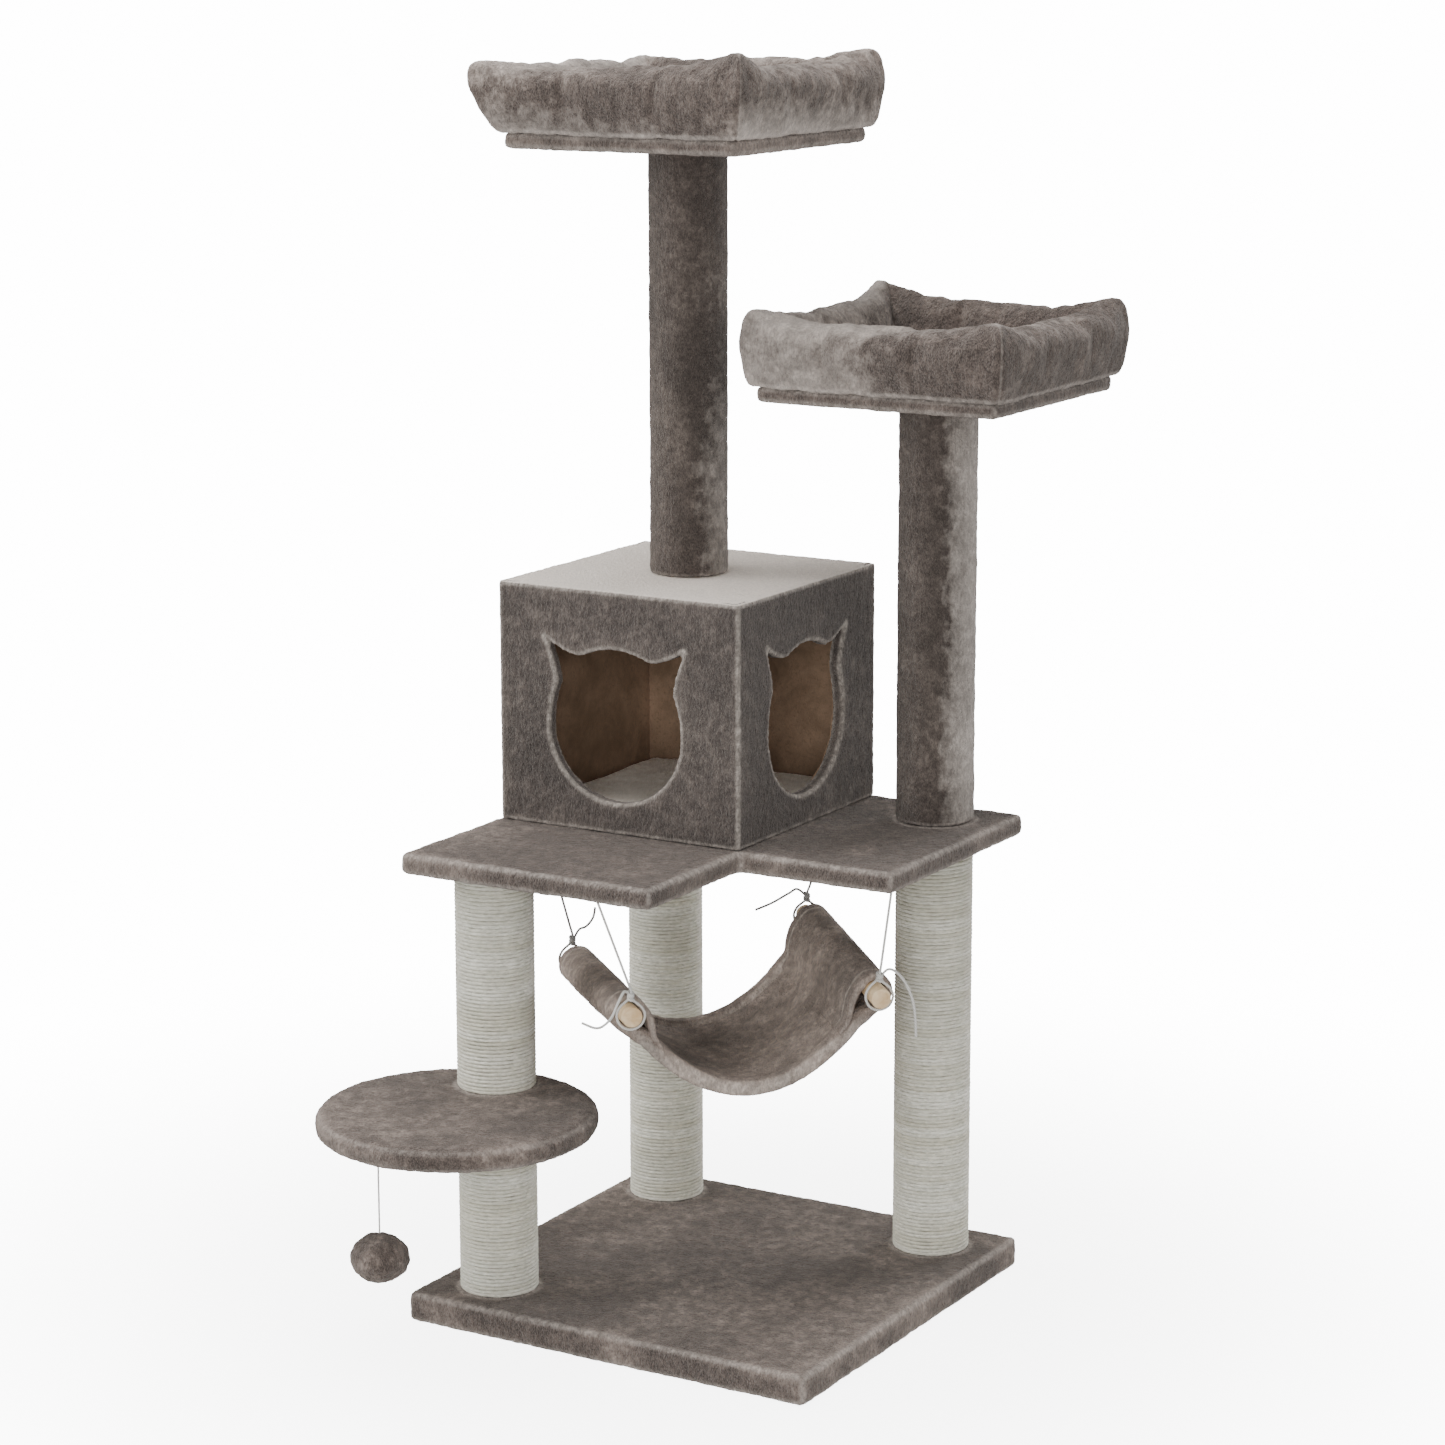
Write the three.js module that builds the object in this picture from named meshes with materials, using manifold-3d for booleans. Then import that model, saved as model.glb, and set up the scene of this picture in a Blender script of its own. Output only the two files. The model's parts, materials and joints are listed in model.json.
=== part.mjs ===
// Cat tree: a plush covered base, three sisal posts, an L-shaped deck with a house on it,
// two bolstered perches on plush posts, a round step, a hammock on two dowels and a toy ball.
// Millimetres, +Z up. The origin is the middle of the base's underside; the house stands
// at -X +Y, and the deck's cut-out corner is at +X -Y.
import * as THREE from 'three';
import { mergeVertices } from 'three/addons/utils/BufferGeometryUtils.js';
import Module from 'manifold-3d';

const wasm = await Module();
wasm.setup();

// Shared by all pieces
const gap = 0.3; // between pieces that touch
const pile = 4; // thickness of a plush cover
const boltRadius = 3;
const boltHoleRadius = 3.8;
const headRadius = 6.5;
const headHeight = 5;
const counterboreRadius = 8;
const boltReach = 15; // how far a bolt enters a post's end plug

// Base and deck
const baseSide = 500;
const baseHeight = 34;
const baseHemWidth = 45;
const liningThickness = 1.5;
const deckUnderside = 508;
const deckTop = 532;
const notchX = 65; // the deck's cut-out corner runs from here to +X
const notchY = -64; // and from here to -Y
const cornerRadius = 9;
const edgeRound = 5;

// Posts
const coreRadius = 38;
const coreWall = 4;
const plugThickness = 18;
const wrapRadius = 43.3;
const postSides = 16;
const discSides = 28;
const boltSides = 8;
const frontLeftPost = [-175, -180];
const backLeftPost = [-181, 186];
const rightPost = [175, 178];

// House
const houseSide = 306;
const houseCentre = [-89, 89];
const houseTop = 801;
const panelThickness = 12;
const padThickness = 20;
const doorCentreOffset = -4;

// Round step on the front left post
const stepCentre = [-165, -272];
const stepRadius = 152;
const stepUnderside = 240;
const stepTop = 266;

// Perches
const perchSide = 290;
const perchThickness = 18;
const upperPerch = { name: 'upper_perch', centre: [-91, 91], underside: 1270.6, post: houseCentre };
const lowerPerch = { name: 'lower_perch', centre: [168, 184], underside: 1002.6, post: rightPost };
const bolsterHeight = 75;
const bolsterInner = 98; // distance of a bolster's foot from the perch's middle
const bolsterOuter = 145;
const bolsterFlare = 162; // distance of a bolster's widest place from the perch's middle

// Hammock, in a frame turned 45 degrees: its X runs from the front left post to the right post
const hammockTurn = Math.PI / 4;
const dowelRadius = 11;
const dowelSpread = 137; // distance of each dowel from the hammock's middle plane
const dowelFront = -170;
const dowelBack = 134;
const dowelHeight = 380;
const dowelTilt = 16.5; // the right dowel rises by this towards the back, the left one falls
const slingFront = -146;
const slingBack = 108;
const slingThickness = 14;
const slingLow = 289; // middle of the cloth at its lowest
const sleeveRadius = 17;
const frontCordY = -162;
const backCordY = 126;
const cordRadius = 1.4;
const cordTopDrop = 1.5;
const strandOffset = 2.4;
const loopRadius = dowelRadius + cordRadius + 2.4;
const knotRise = 22; // height of a knot above its dowel's axis

// Toy under the step
const toyPlace = [-191, -382];
const toyCordRadius = 1;
const toyBallCentreZ = 126;
const toyBallRadius = 33;
const toyBallHalfHeight = 27;

const finishes = {
  plush: new THREE.MeshStandardMaterial({ color: 0x847a74, roughness: 0.95, metalness: 0 }),
  sisal: new THREE.MeshStandardMaterial({ color: 0xc2c3b6, roughness: 0.9, metalness: 0 }),
  board: new THREE.MeshStandardMaterial({ color: 0x8a6244, roughness: 0.8, metalness: 0 }),
  cardboard: new THREE.MeshStandardMaterial({ color: 0xa88a66, roughness: 0.9, metalness: 0 }),
  lining: new THREE.MeshStandardMaterial({ color: 0x2b2928, roughness: 0.9, metalness: 0 }),
  pad: new THREE.MeshStandardMaterial({ color: 0xddd5cb, roughness: 0.95, metalness: 0 }),
  steel: new THREE.MeshStandardMaterial({ color: 0xb8b8b8, roughness: 0.35, metalness: 1 }),
  dowel: new THREE.MeshStandardMaterial({ color: 0xe6cda4, roughness: 0.6, metalness: 0 }),
  cord: new THREE.MeshStandardMaterial({ color: 0xd8d6d0, roughness: 0.85, metalness: 0 }),
};

const tree = new THREE.Group();

function add(name, geometry, finish, parent = tree) {
  const mesh = new THREE.Mesh(geometry, finishes[finish]);
  mesh.name = name;
  parent.add(mesh);
  return mesh;
}

// Solids for joining and cutting

function solid(geometry) {
  const bare = geometry.clone();
  bare.deleteAttribute('normal');
  bare.deleteAttribute('uv');
  const merged = mergeVertices(bare);
  const vertProperties = Float32Array.from(merged.attributes.position.array);
  const triVerts = Uint32Array.from(merged.index.array);
  return new wasm.Manifold(new wasm.Mesh({ numProp: 3, vertProperties, triVerts }));
}

function geometryOf(body) {
  const mesh = body.getMesh();
  const geometry = new THREE.BufferGeometry();
  geometry.setAttribute('position', new THREE.BufferAttribute(mesh.vertProperties, 3));
  geometry.setIndex(new THREE.BufferAttribute(mesh.triVerts, 1));
  geometry.computeVertexNormals();
  return geometry;
}

function cut(geometry, ...tools) {
  let body = solid(geometry);
  for (const tool of tools) {
    body = body.subtract(solid(tool));
  }
  return geometryOf(body);
}

// Plain shapes at their places

function polygonShape(points, radius) {
  const shape = new THREE.Shape();
  points.forEach(([x, y], i) => {
    const here = new THREE.Vector2(x, y);
    const before = new THREE.Vector2(...points[(i + points.length - 1) % points.length]);
    const after = new THREE.Vector2(...points[(i + 1) % points.length]);
    const start = here.clone().add(before.sub(here).setLength(radius));
    const end = here.clone().add(after.sub(here).setLength(radius));
    if (i === 0) {
      shape.moveTo(start.x, start.y);
    } else {
      shape.lineTo(start.x, start.y);
    }
    shape.quadraticCurveTo(x, y, end.x, end.y);
  });
  return shape;
}

function squareShape(side, radius) {
  const h = side / 2;
  return polygonShape([[-h, -h], [h, -h], [h, h], [-h, h]], radius);
}

function deckShape(inset) {
  const h = baseSide / 2 - inset;
  const innerX = notchX - inset;
  const innerY = notchY + inset;
  const corners = [[-h, -h], [innerX, -h], [innerX, innerY], [h, innerY], [h, h], [-h, h]];
  return polygonShape(corners, cornerRadius - inset);
}

function slab(shape, low, high, bevel = 0) {
  const settings = {
    depth: high - low - 2 * bevel,
    bevelEnabled: bevel > 0,
    bevelThickness: bevel,
    bevelSize: bevel,
    bevelOffset: -bevel,
    bevelSegments: 1,
    curveSegments: 3,
  };
  return new THREE.ExtrudeGeometry(shape, settings).translate(0, 0, low + bevel);
}

function box(x0, x1, y0, y1, z0, z1) {
  const geometry = new THREE.BoxGeometry(x1 - x0, y1 - y0, z1 - z0);
  return geometry.translate((x0 + x1) / 2, (y0 + y1) / 2, (z0 + z1) / 2);
}

// A round solid about a vertical axis; its outline is a list of [radius, height]
function turned(outline, [x, y], segments) {
  const points = outline.map(([radius, z]) => new THREE.Vector2(radius, z));
  return new THREE.LatheGeometry(points, segments).rotateX(Math.PI / 2).translate(x, y, 0);
}

function rod(radius, low, high, place) {
  return turned([[0, low], [radius, low], [radius, high], [0, high]], place, boltSides);
}

// Bolts and studs

function bolt(name, place, headZ, direction, reach) {
  const headEnd = headZ + direction * headHeight;
  const tip = headZ + direction * reach;
  const outline = [[0, headZ], [headRadius, headZ], [headRadius, headEnd], [boltRadius, headEnd]];
  outline.push([boltRadius, tip], [0, tip]);
  add(name, turned(direction > 0 ? outline : outline.reverse(), place, boltSides), 'steel');
}

function stud(name, place, low, high) {
  add(name, rod(boltRadius, low, high, place, boltSides), 'steel');
}

// Posts: a cardboard tube with an end plug at each end, bored for the bolts, in a wound or sewn wrap

function post(name, wrapName, finish, place, from, to) {
  const low = from + gap;
  const high = to - gap;
  const hollow = coreRadius - coreWall;
  const outline = [
    [boltHoleRadius, low], [coreRadius, low], [coreRadius, high], [boltHoleRadius, high],
    [boltHoleRadius, high - plugThickness], [hollow, high - plugThickness],
    [hollow, low + plugThickness], [boltHoleRadius, low + plugThickness], [boltHoleRadius, low],
  ];
  add(`${name}_core`, turned(outline, place, postSides), 'cardboard');
  const inner = coreRadius + gap;
  const wrap = [[inner, low], [wrapRadius, low], [wrapRadius, high], [inner, high], [inner, low]];
  add(`${name}_${wrapName}`, turned(wrap, place, postSides), finish);
}

// Base

const bottomPosts = [frontLeftPost, backLeftPost, rightPost];
const baseBoardLow = liningThickness + gap;
const baseBoardTop = baseHeight - pile - gap;
const baseBoltHead = baseBoardLow + 1;

add(
  'base_board',
  cut(
    slab(squareShape(baseSide - 2 * pile - 2 * gap, cornerRadius - pile), baseBoardLow, baseBoardTop),
    ...bottomPosts.map((place) => rod(boltHoleRadius, 0, baseHeight, place)),
    ...bottomPosts.map((place) => rod(counterboreRadius, 0, baseBoltHead + headHeight + 1, place)),
  ),
  'board',
);
add(
  'base_plush',
  cut(
    slab(squareShape(baseSide, cornerRadius), 0, baseHeight, edgeRound - 1),
    slab(squareShape(baseSide - 2 * pile, cornerRadius - pile), liningThickness, baseHeight - pile),
    slab(squareShape(baseSide - 2 * baseHemWidth, cornerRadius), -1, liningThickness + 1),
    ...bottomPosts.map((place) => rod(boltHoleRadius, 0, baseHeight + 1, place)),
  ),
  'plush',
);
add(
  'base_lining',
  slab(squareShape(baseSide - 2 * baseHemWidth - 2 * gap, cornerRadius), 0, liningThickness),
  'lining',
);
bottomPosts.forEach((place, i) => {
  bolt(`base_bolt_${i + 1}`, place, baseBoltHead, 1, baseHeight - baseBoltHead + boltReach);
});

// Lower posts, and the stud that joins the two halves of the front left one through the step

post('front_left_post_lower', 'sisal', 'sisal', frontLeftPost, baseHeight, stepUnderside);
post('front_left_post_upper', 'sisal', 'sisal', frontLeftPost, stepTop, deckUnderside);
post('back_left_post', 'sisal', 'sisal', backLeftPost, baseHeight, deckUnderside);
post('right_post', 'sisal', 'sisal', rightPost, baseHeight, deckUnderside);
stud('step_stud', frontLeftPost, stepUnderside - boltReach, stepTop + boltReach);

// Round step

function discOutline(radius, low, high, round) {
  const outline = [[0, low], [radius - round, low]];
  for (const angle of [-45, 0, 45]) {
    const a = THREE.MathUtils.degToRad(angle);
    const middle = (low + high) / 2;
    const half = (high - low) / 2;
    outline.push([radius - round + round * Math.cos(a), middle + half * Math.sin(a)]);
  }
  outline.push([radius - round, high], [0, high]);
  return outline;
}

const stepHole = rod(boltHoleRadius, stepUnderside - 1, stepTop + 1, frontLeftPost);
const stepInside = discOutline(stepRadius - pile, stepUnderside + pile, stepTop - pile, 5);
const stepBoardOutline = discOutline(
  stepRadius - pile - gap, stepUnderside + pile + gap, stepTop - pile - gap, 5,
);
add('step_board', cut(turned(stepBoardOutline, stepCentre, discSides), stepHole), 'board');
add(
  'step_plush',
  cut(
    turned(discOutline(stepRadius, stepUnderside, stepTop, 10), stepCentre, discSides),
    turned(stepInside, stepCentre, discSides),
    stepHole,
  ),
  'plush',
);

// Deck

const deckBoardTop = deckTop - pile - gap;
const deckHeadZ = deckBoardTop - 1;
const deckHoles = bottomPosts.map((place) => rod(boltHoleRadius, deckUnderside - 1, deckTop + 1, place));
const deckBoltPosts = [frontLeftPost, backLeftPost];
const deckCounterbores = deckBoltPosts.map((place) => (
  rod(counterboreRadius, deckHeadZ - headHeight - 1, deckTop + 1, place)
));
const deckSkinHoles = bottomPosts.map((place, i) => (
  rod(boltHoleRadius, deckUnderside - 1, i === 2 ? deckTop + 1 : deckUnderside + pile + 1, place)
));

add(
  'deck_board',
  cut(
    slab(deckShape(pile + gap), deckUnderside + pile + gap, deckBoardTop),
    ...deckHoles,
    ...deckCounterbores,
  ),
  'board',
);
add(
  'deck_plush',
  cut(
    slab(deckShape(0), deckUnderside, deckTop, edgeRound - 1),
    slab(deckShape(pile), deckUnderside + pile, deckTop - pile),
    ...deckSkinHoles,
  ),
  'plush',
);
deckBoltPosts.forEach((place, i) => {
  bolt(`deck_bolt_${i + 1}`, place, deckHeadZ, -1, deckHeadZ - deckUnderside + boltReach);
});
stud('deck_stud', rightPost, deckUnderside - boltReach, deckTop + boltReach);

// House. A door is the outline of a cat's face, in a panel's plane, heights from the deck's top.
// The panels' doors are cut larger all round, for the cover that wraps their edges

function doorShape(grow) {
  const chin = 35 - grow;
  const cheek = { x: 83.5 + grow, z: 113 };
  const neck = { x: 73.5 + grow, z: 163 };
  const earTip = { x: 89 + grow, z: 212 + 1.5 * grow };
  const earFoot = { x: 44, z: 194 + grow };
  const crownPull = 216 + grow;
  const jawPull = { x: cheek.x - 0.5, z: 140 };
  const templePull = { x: neck.x + 2.5, z: 184 };
  const browPull = { x: 64, z: 195 + grow };
  const shape = new THREE.Shape();
  shape.moveTo(cheek.x, cheek.z);
  shape.quadraticCurveTo(jawPull.x, jawPull.z, neck.x, neck.z);
  shape.quadraticCurveTo(templePull.x, templePull.z, earTip.x, earTip.z);
  shape.quadraticCurveTo(browPull.x, browPull.z, earFoot.x, earFoot.z);
  shape.quadraticCurveTo(0, crownPull, -earFoot.x, earFoot.z);
  shape.quadraticCurveTo(-browPull.x, browPull.z, -earTip.x, earTip.z);
  shape.quadraticCurveTo(-templePull.x, templePull.z, -neck.x, neck.z);
  shape.quadraticCurveTo(-jawPull.x, jawPull.z, -cheek.x, cheek.z);
  shape.absellipse(0, cheek.z, cheek.x, cheek.z - chin, Math.PI, 2 * Math.PI, false, 0);
  return shape;
}

function doorCutter(grow) {
  const depth = 60;
  const settings = { depth, bevelEnabled: false, curveSegments: 4 };
  return new THREE.ExtrudeGeometry(doorShape(grow), settings).translate(0, 0, -depth / 2);
}

const houseHalf = houseSide / 2;
const [houseX, houseY] = houseCentre;
const wallOuter = houseHalf - pile - gap;
const wallInner = wallOuter - panelThickness;
const wallLow = deckTop + 2 * gap;
const roofTop = houseTop - pile - gap;
const wallTop = roofTop - panelThickness - gap;

function frontDoor(grow) {
  return doorCutter(grow).rotateX(Math.PI / 2)
    .translate(houseX + doorCentreOffset, houseY - houseHalf, deckTop);
}

function rightDoor(grow) {
  return doorCutter(grow).rotateX(Math.PI / 2).rotateZ(Math.PI / 2)
    .translate(houseX + houseHalf, houseY + doorCentreOffset, deckTop);
}

const roofHole = rod(boltHoleRadius, wallTop, houseTop + 1, houseCentre);

function wall(x0, x1, y0, y1) {
  return box(houseX + x0, houseX + x1, houseY + y0, houseY + y1, wallLow, wallTop);
}

const sideReach = wallInner - gap;
const frontWall = wall(-wallOuter, wallOuter, -wallOuter, -wallInner);
add('house_front_panel', cut(frontWall, frontDoor(pile)), 'board');
add('house_back_panel', wall(-wallOuter, wallOuter, wallInner, wallOuter), 'board');
add('house_left_panel', wall(-wallOuter, -wallInner, -sideReach, sideReach), 'board');
add('house_right_panel', cut(wall(wallInner, wallOuter, -sideReach, sideReach), rightDoor(pile)), 'board');
add(
  'house_roof_panel',
  cut(
    box(houseX - wallOuter, houseX + wallOuter, houseY - wallOuter, houseY + wallOuter,
      roofTop - panelThickness, roofTop),
    roofHole,
  ),
  'board',
);
const houseInside = houseHalf - pile;
add(
  'house_plush',
  cut(
    slab(squareShape(houseSide, 8), deckTop + gap, houseTop, 3).translate(houseX, houseY, 0),
    box(houseX - houseInside, houseX + houseInside, houseY - houseInside, houseY + houseInside,
      deckTop - 1, houseTop - pile),
    frontDoor(0),
    rightDoor(0),
    roofHole,
  ),
  'plush',
);
add(
  'house_floor_pad',
  slab(squareShape(2 * wallInner - 4, 16), wallLow, wallLow + padThickness, 6)
    .translate(houseX, houseY, 0),
  'pad',
);
const roofHeadZ = roofTop - panelThickness - gap - headHeight;
bolt('roof_bolt', houseCentre, roofHeadZ, 1, houseTop - roofHeadZ + boltReach);

// Upper posts

post('upper_perch_post', 'plush', 'plush', houseCentre, houseTop, upperPerch.underside);
post('lower_perch_post', 'plush', 'plush', rightPost, deckTop, lowerPerch.underside);

// Perches: a covered board with four bolsters whose ends meet in mitres

function bolsterRing() {
  const h = bolsterHeight;
  const outline = [
    [bolsterInner, 0], [bolsterOuter, 0], [bolsterFlare - 4, 0.2 * h], [bolsterFlare, 0.5 * h],
    [bolsterFlare - 1, 0.8 * h], [bolsterFlare - 8, h], [bolsterFlare - 24, h],
    [bolsterInner + 19, 0.86 * h], [bolsterInner + 11, 0.5 * h], [bolsterInner, 0],
  ];
  const cornerFactor = Math.SQRT2; // a turned outline with four sides meets it only at its corners
  const stretched = outline.map(([radius, z]) => [radius * cornerFactor, z]);
  return turned(stretched, [0, 0], 4).rotateZ(Math.PI / 4);
}

function quarterWedge(turns) {
  const far = 2 * bolsterFlare;
  const near = 2 * gap;
  const shape = new THREE.Shape();
  shape.moveTo(0, -near);
  shape.lineTo(far, -far - near);
  shape.lineTo(-far, -far - near);
  shape.closePath();
  const settings = { depth: 2 * bolsterHeight, bevelEnabled: false };
  return new THREE.ExtrudeGeometry(shape, settings)
    .translate(0, 0, -bolsterHeight / 2)
    .rotateZ((turns * Math.PI) / 2);
}

function perch({ name, centre: [x, y], underside, post: place }) {
  const top = underside + perchThickness;
  const boardTop = top - pile - gap;
  const headZ = boardTop - 1;
  const hole = rod(boltHoleRadius, underside - 1, top, place);
  const skinHole = rod(boltHoleRadius, underside - 1, underside + pile + 1, place);
  const counterbore = rod(counterboreRadius, headZ - headHeight - 1, top, place);
  const at = (geometry) => geometry.translate(x, y, 0);
  const boardSide = perchSide - 2 * pile - 2 * gap;
  add(
    `${name}_board`,
    cut(
      at(slab(squareShape(boardSide, cornerRadius - pile), underside + pile + gap, boardTop)),
      hole,
      counterbore,
    ),
    'board',
  );
  add(
    `${name}_plush`,
    cut(
      at(slab(squareShape(perchSide, cornerRadius), underside, top, edgeRound - 1)),
      at(slab(squareShape(perchSide - 2 * pile, cornerRadius - pile), underside + pile, top - pile)),
      skinHole,
    ),
    'plush',
  );
  ['front', 'right', 'back', 'left'].forEach((side, turns) => {
    const quarter = solid(bolsterRing()).intersect(solid(quarterWedge(turns)));
    const bolster = geometryOf(quarter).translate(x, y, top + gap);
    add(`${name}_bolster_${side}`, bolster, 'plush');
  });
  bolt(`${name}_bolt`, place, headZ, -1, headZ - underside + boltReach);
}

perch(upperPerch);
perch(lowerPerch);

// Hammock

const hammock = new THREE.Group();
hammock.rotation.z = hammockTurn;
tree.add(hammock);

function tiltAt(x, y) {
  return dowelTilt * (x / dowelSpread) * ((y - dowelFront) / (dowelBack - dowelFront));
}

function tilted(geometry) {
  const place = geometry.attributes.position;
  for (let i = 0; i < place.count; i += 1) {
    place.setZ(i, place.getZ(i) + tiltAt(place.getX(i), place.getY(i)));
  }
  geometry.computeVertexNormals();
  return geometry;
}

function dowel(name, side) {
  const length = dowelBack - dowelFront;
  const geometry = new THREE.CylinderGeometry(dowelRadius, dowelRadius, length, 16);
  geometry.translate(side * dowelSpread, (dowelFront + dowelBack) / 2, dowelHeight);
  add(name, tilted(geometry), 'dowel', hammock);
}

// The cloth's cross-section: a sagging band whose ends wrap the two dowels
function slingShape() {
  const steps = 14;
  const half = slingThickness / 2;
  const reach = dowelSpread - 4;
  const rise = dowelHeight - 6 - slingLow;
  const sag = (x) => slingLow + rise * (Math.abs(x) / dowelSpread) ** 2.1;
  const upper = [];
  const lower = [];
  for (let i = 0; i <= steps; i += 1) {
    const x = -reach + (2 * reach * i) / steps;
    const slope = (sag(x + 1) - sag(x - 1)) / 2;
    const normal = new THREE.Vector2(-slope, 1).setLength(half);
    upper.push(new THREE.Vector2(x + normal.x, sag(x) + normal.y));
    lower.push(new THREE.Vector2(x - normal.x, sag(x) - normal.y));
  }
  return new THREE.Shape([...lower, ...upper.reverse()]);
}

function alongY(shape, from, to) {
  const settings = { depth: to - from, bevelEnabled: false, curveSegments: 10 };
  return new THREE.ExtrudeGeometry(shape, settings).rotateX(Math.PI / 2).translate(0, to, 0);
}

function sling() {
  const circle = (x, radius) => new THREE.Shape().absarc(x, dowelHeight, radius, 0, 2 * Math.PI, false);
  let body = solid(alongY(slingShape(), slingFront, slingBack));
  for (const side of [-1, 1]) {
    body = body.add(solid(alongY(circle(side * dowelSpread, sleeveRadius), slingFront, slingBack)));
  }
  for (const side of [-1, 1]) {
    const bore = alongY(circle(side * dowelSpread, dowelRadius + 1), slingFront - 1, slingBack + 1);
    body = body.subtract(solid(bore));
  }
  return tilted(geometryOf(body));
}

dowel('left_dowel', -1);
dowel('right_dowel', 1);
add('hammock_sling', sling(), 'plush', hammock);

// A round cord along hand-placed points
function tube(points, radius, step) {
  const route = new THREE.CatmullRomCurve3(points.map((point) => new THREE.Vector3(...point)));
  const section = new THREE.Shape().absarc(0, 0, radius, 0, 2 * Math.PI, false);
  const steps = Math.min(60, Math.round(route.getLength() / step));
  const settings = { steps, extrudePath: route, curveSegments: 4 };
  return new THREE.ExtrudeGeometry(section, settings);
}

// Each cord comes straight down from the deck, goes round its dowel in one turn, is knotted
// to itself above the dowel, and ends in a loose tail. Tail points are counted from the knot.
const hammockCords = {
  hammock_cord_back_left: {
    side: -1, y: backCordY, topX: -167,
    tail: [[9, 4, 10], [18, 6, 13], [26, 7, 22], [29, 8, 34]],
  },
  hammock_cord_front_left: {
    side: -1, y: frontCordY, topX: -172,
    tail: [[-8, -8, 7], [-17, -15, -4], [-26, -19, -19], [-40, -21, -27], [-57, -21, -20]],
  },
  hammock_cord_back_right: {
    side: 1, y: backCordY, topX: 168,
    tail: [[-9, 5, 8], [-19, 7, 3], [-38, 8, -7], [-58, 8, -14]],
  },
  hammock_cord_front_right: {
    side: 1, y: frontCordY, topX: 151,
    tail: [[9, -6, 9], [20, -10, 3], [30, -13, -14], [36, -14, -36], [38, -14, -66]],
  },
};

function cordPoints({ side, y, topX, tail }) {
  const x = side * dowelSpread;
  const axisZ = dowelHeight + tiltAt(x, y);
  const knotZ = axisZ + knotRise;
  const down = y - strandOffset;
  const up = y + strandOffset;
  const points = [[topX, y, deckUnderside - cordTopDrop], [x, down, knotZ + 6], [x, down, knotZ - 2]];
  const turnAngles = [42, 0, -45, -90, -135, 180, 138];
  turnAngles.forEach((degrees, i) => {
    const angle = THREE.MathUtils.degToRad(degrees);
    const across = down + ((up - down) * i) / (turnAngles.length - 1);
    points.push([x + loopRadius * Math.cos(angle), across, axisZ + loopRadius * Math.sin(angle)]);
  });
  points.push([x, up, knotZ - 2]);
  for (const [dx, dy, dz] of tail) {
    points.push([x + dx, up + dy, knotZ + dz]);
  }
  return { points, knot: [x, y, knotZ] };
}

for (const [name, settings] of Object.entries(hammockCords)) {
  const { points, knot } = cordPoints(settings);
  const bead = new THREE.SphereGeometry(1, 8, 5).scale(4.6, 6, 5).translate(...knot);
  const body = solid(tube(points, cordRadius, 8.5)).add(solid(bead));
  add(name, geometryOf(body), 'cord', hammock);
}

// Toy: a wire staple in the step's underside, a ring linked through it, a string and a ball

const toy = new THREE.Group();
toy.position.set(...toyPlace, 0);
tree.add(toy);

const stapleRadius = 6;
const stapleWire = 1;
const stapleLow = stepUnderside - 8; // height of the staple's lowest wire axis
const ringRadius = 3.6;
const ringWire = 0.9;
const ringCentreZ = stapleLow - ringRadius + stapleWire + ringWire + 0.3;

function staple() {
  const middleZ = stapleLow + stapleRadius;
  const points = [[-stapleRadius, 0, stepUnderside - gap], [-stapleRadius, 0, middleZ]];
  for (const degrees of [225, 270, 315]) {
    const angle = THREE.MathUtils.degToRad(degrees);
    points.push([stapleRadius * Math.cos(angle), 0, middleZ + stapleRadius * Math.sin(angle)]);
  }
  points.push([stapleRadius, 0, middleZ], [stapleRadius, 0, stepUnderside - gap]);
  return tube(points, stapleWire, 1.6);
}

add('toy_staple', staple(), 'steel', toy);
const ring = new THREE.TorusGeometry(ringRadius, ringWire, 6, 12).rotateY(Math.PI / 2);
add('toy_ring', ring.translate(0, 0, ringCentreZ), 'steel', toy);
const toyCordTop = ringCentreZ - ringRadius - ringWire - gap;
const toyBallTop = toyBallCentreZ + toyBallHalfHeight;
const toyCordPoints = [];
for (let i = 0; i <= 6; i += 1) {
  toyCordPoints.push([0, 0, toyCordTop + ((toyBallTop + gap - toyCordTop) * i) / 6]);
}
add('toy_cord', tube(toyCordPoints, toyCordRadius, 7), 'cord', toy);
const ball = new THREE.SphereGeometry(1, 14, 8).rotateX(Math.PI / 2);
ball.scale(toyBallRadius, toyBallRadius, toyBallHalfHeight);
add('toy_ball', ball.translate(0, 0, toyBallCentreZ), 'plush', toy);

export default tree;
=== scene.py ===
import json
import math

import bpy
import numpy
from mathutils import Matrix, Vector


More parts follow.
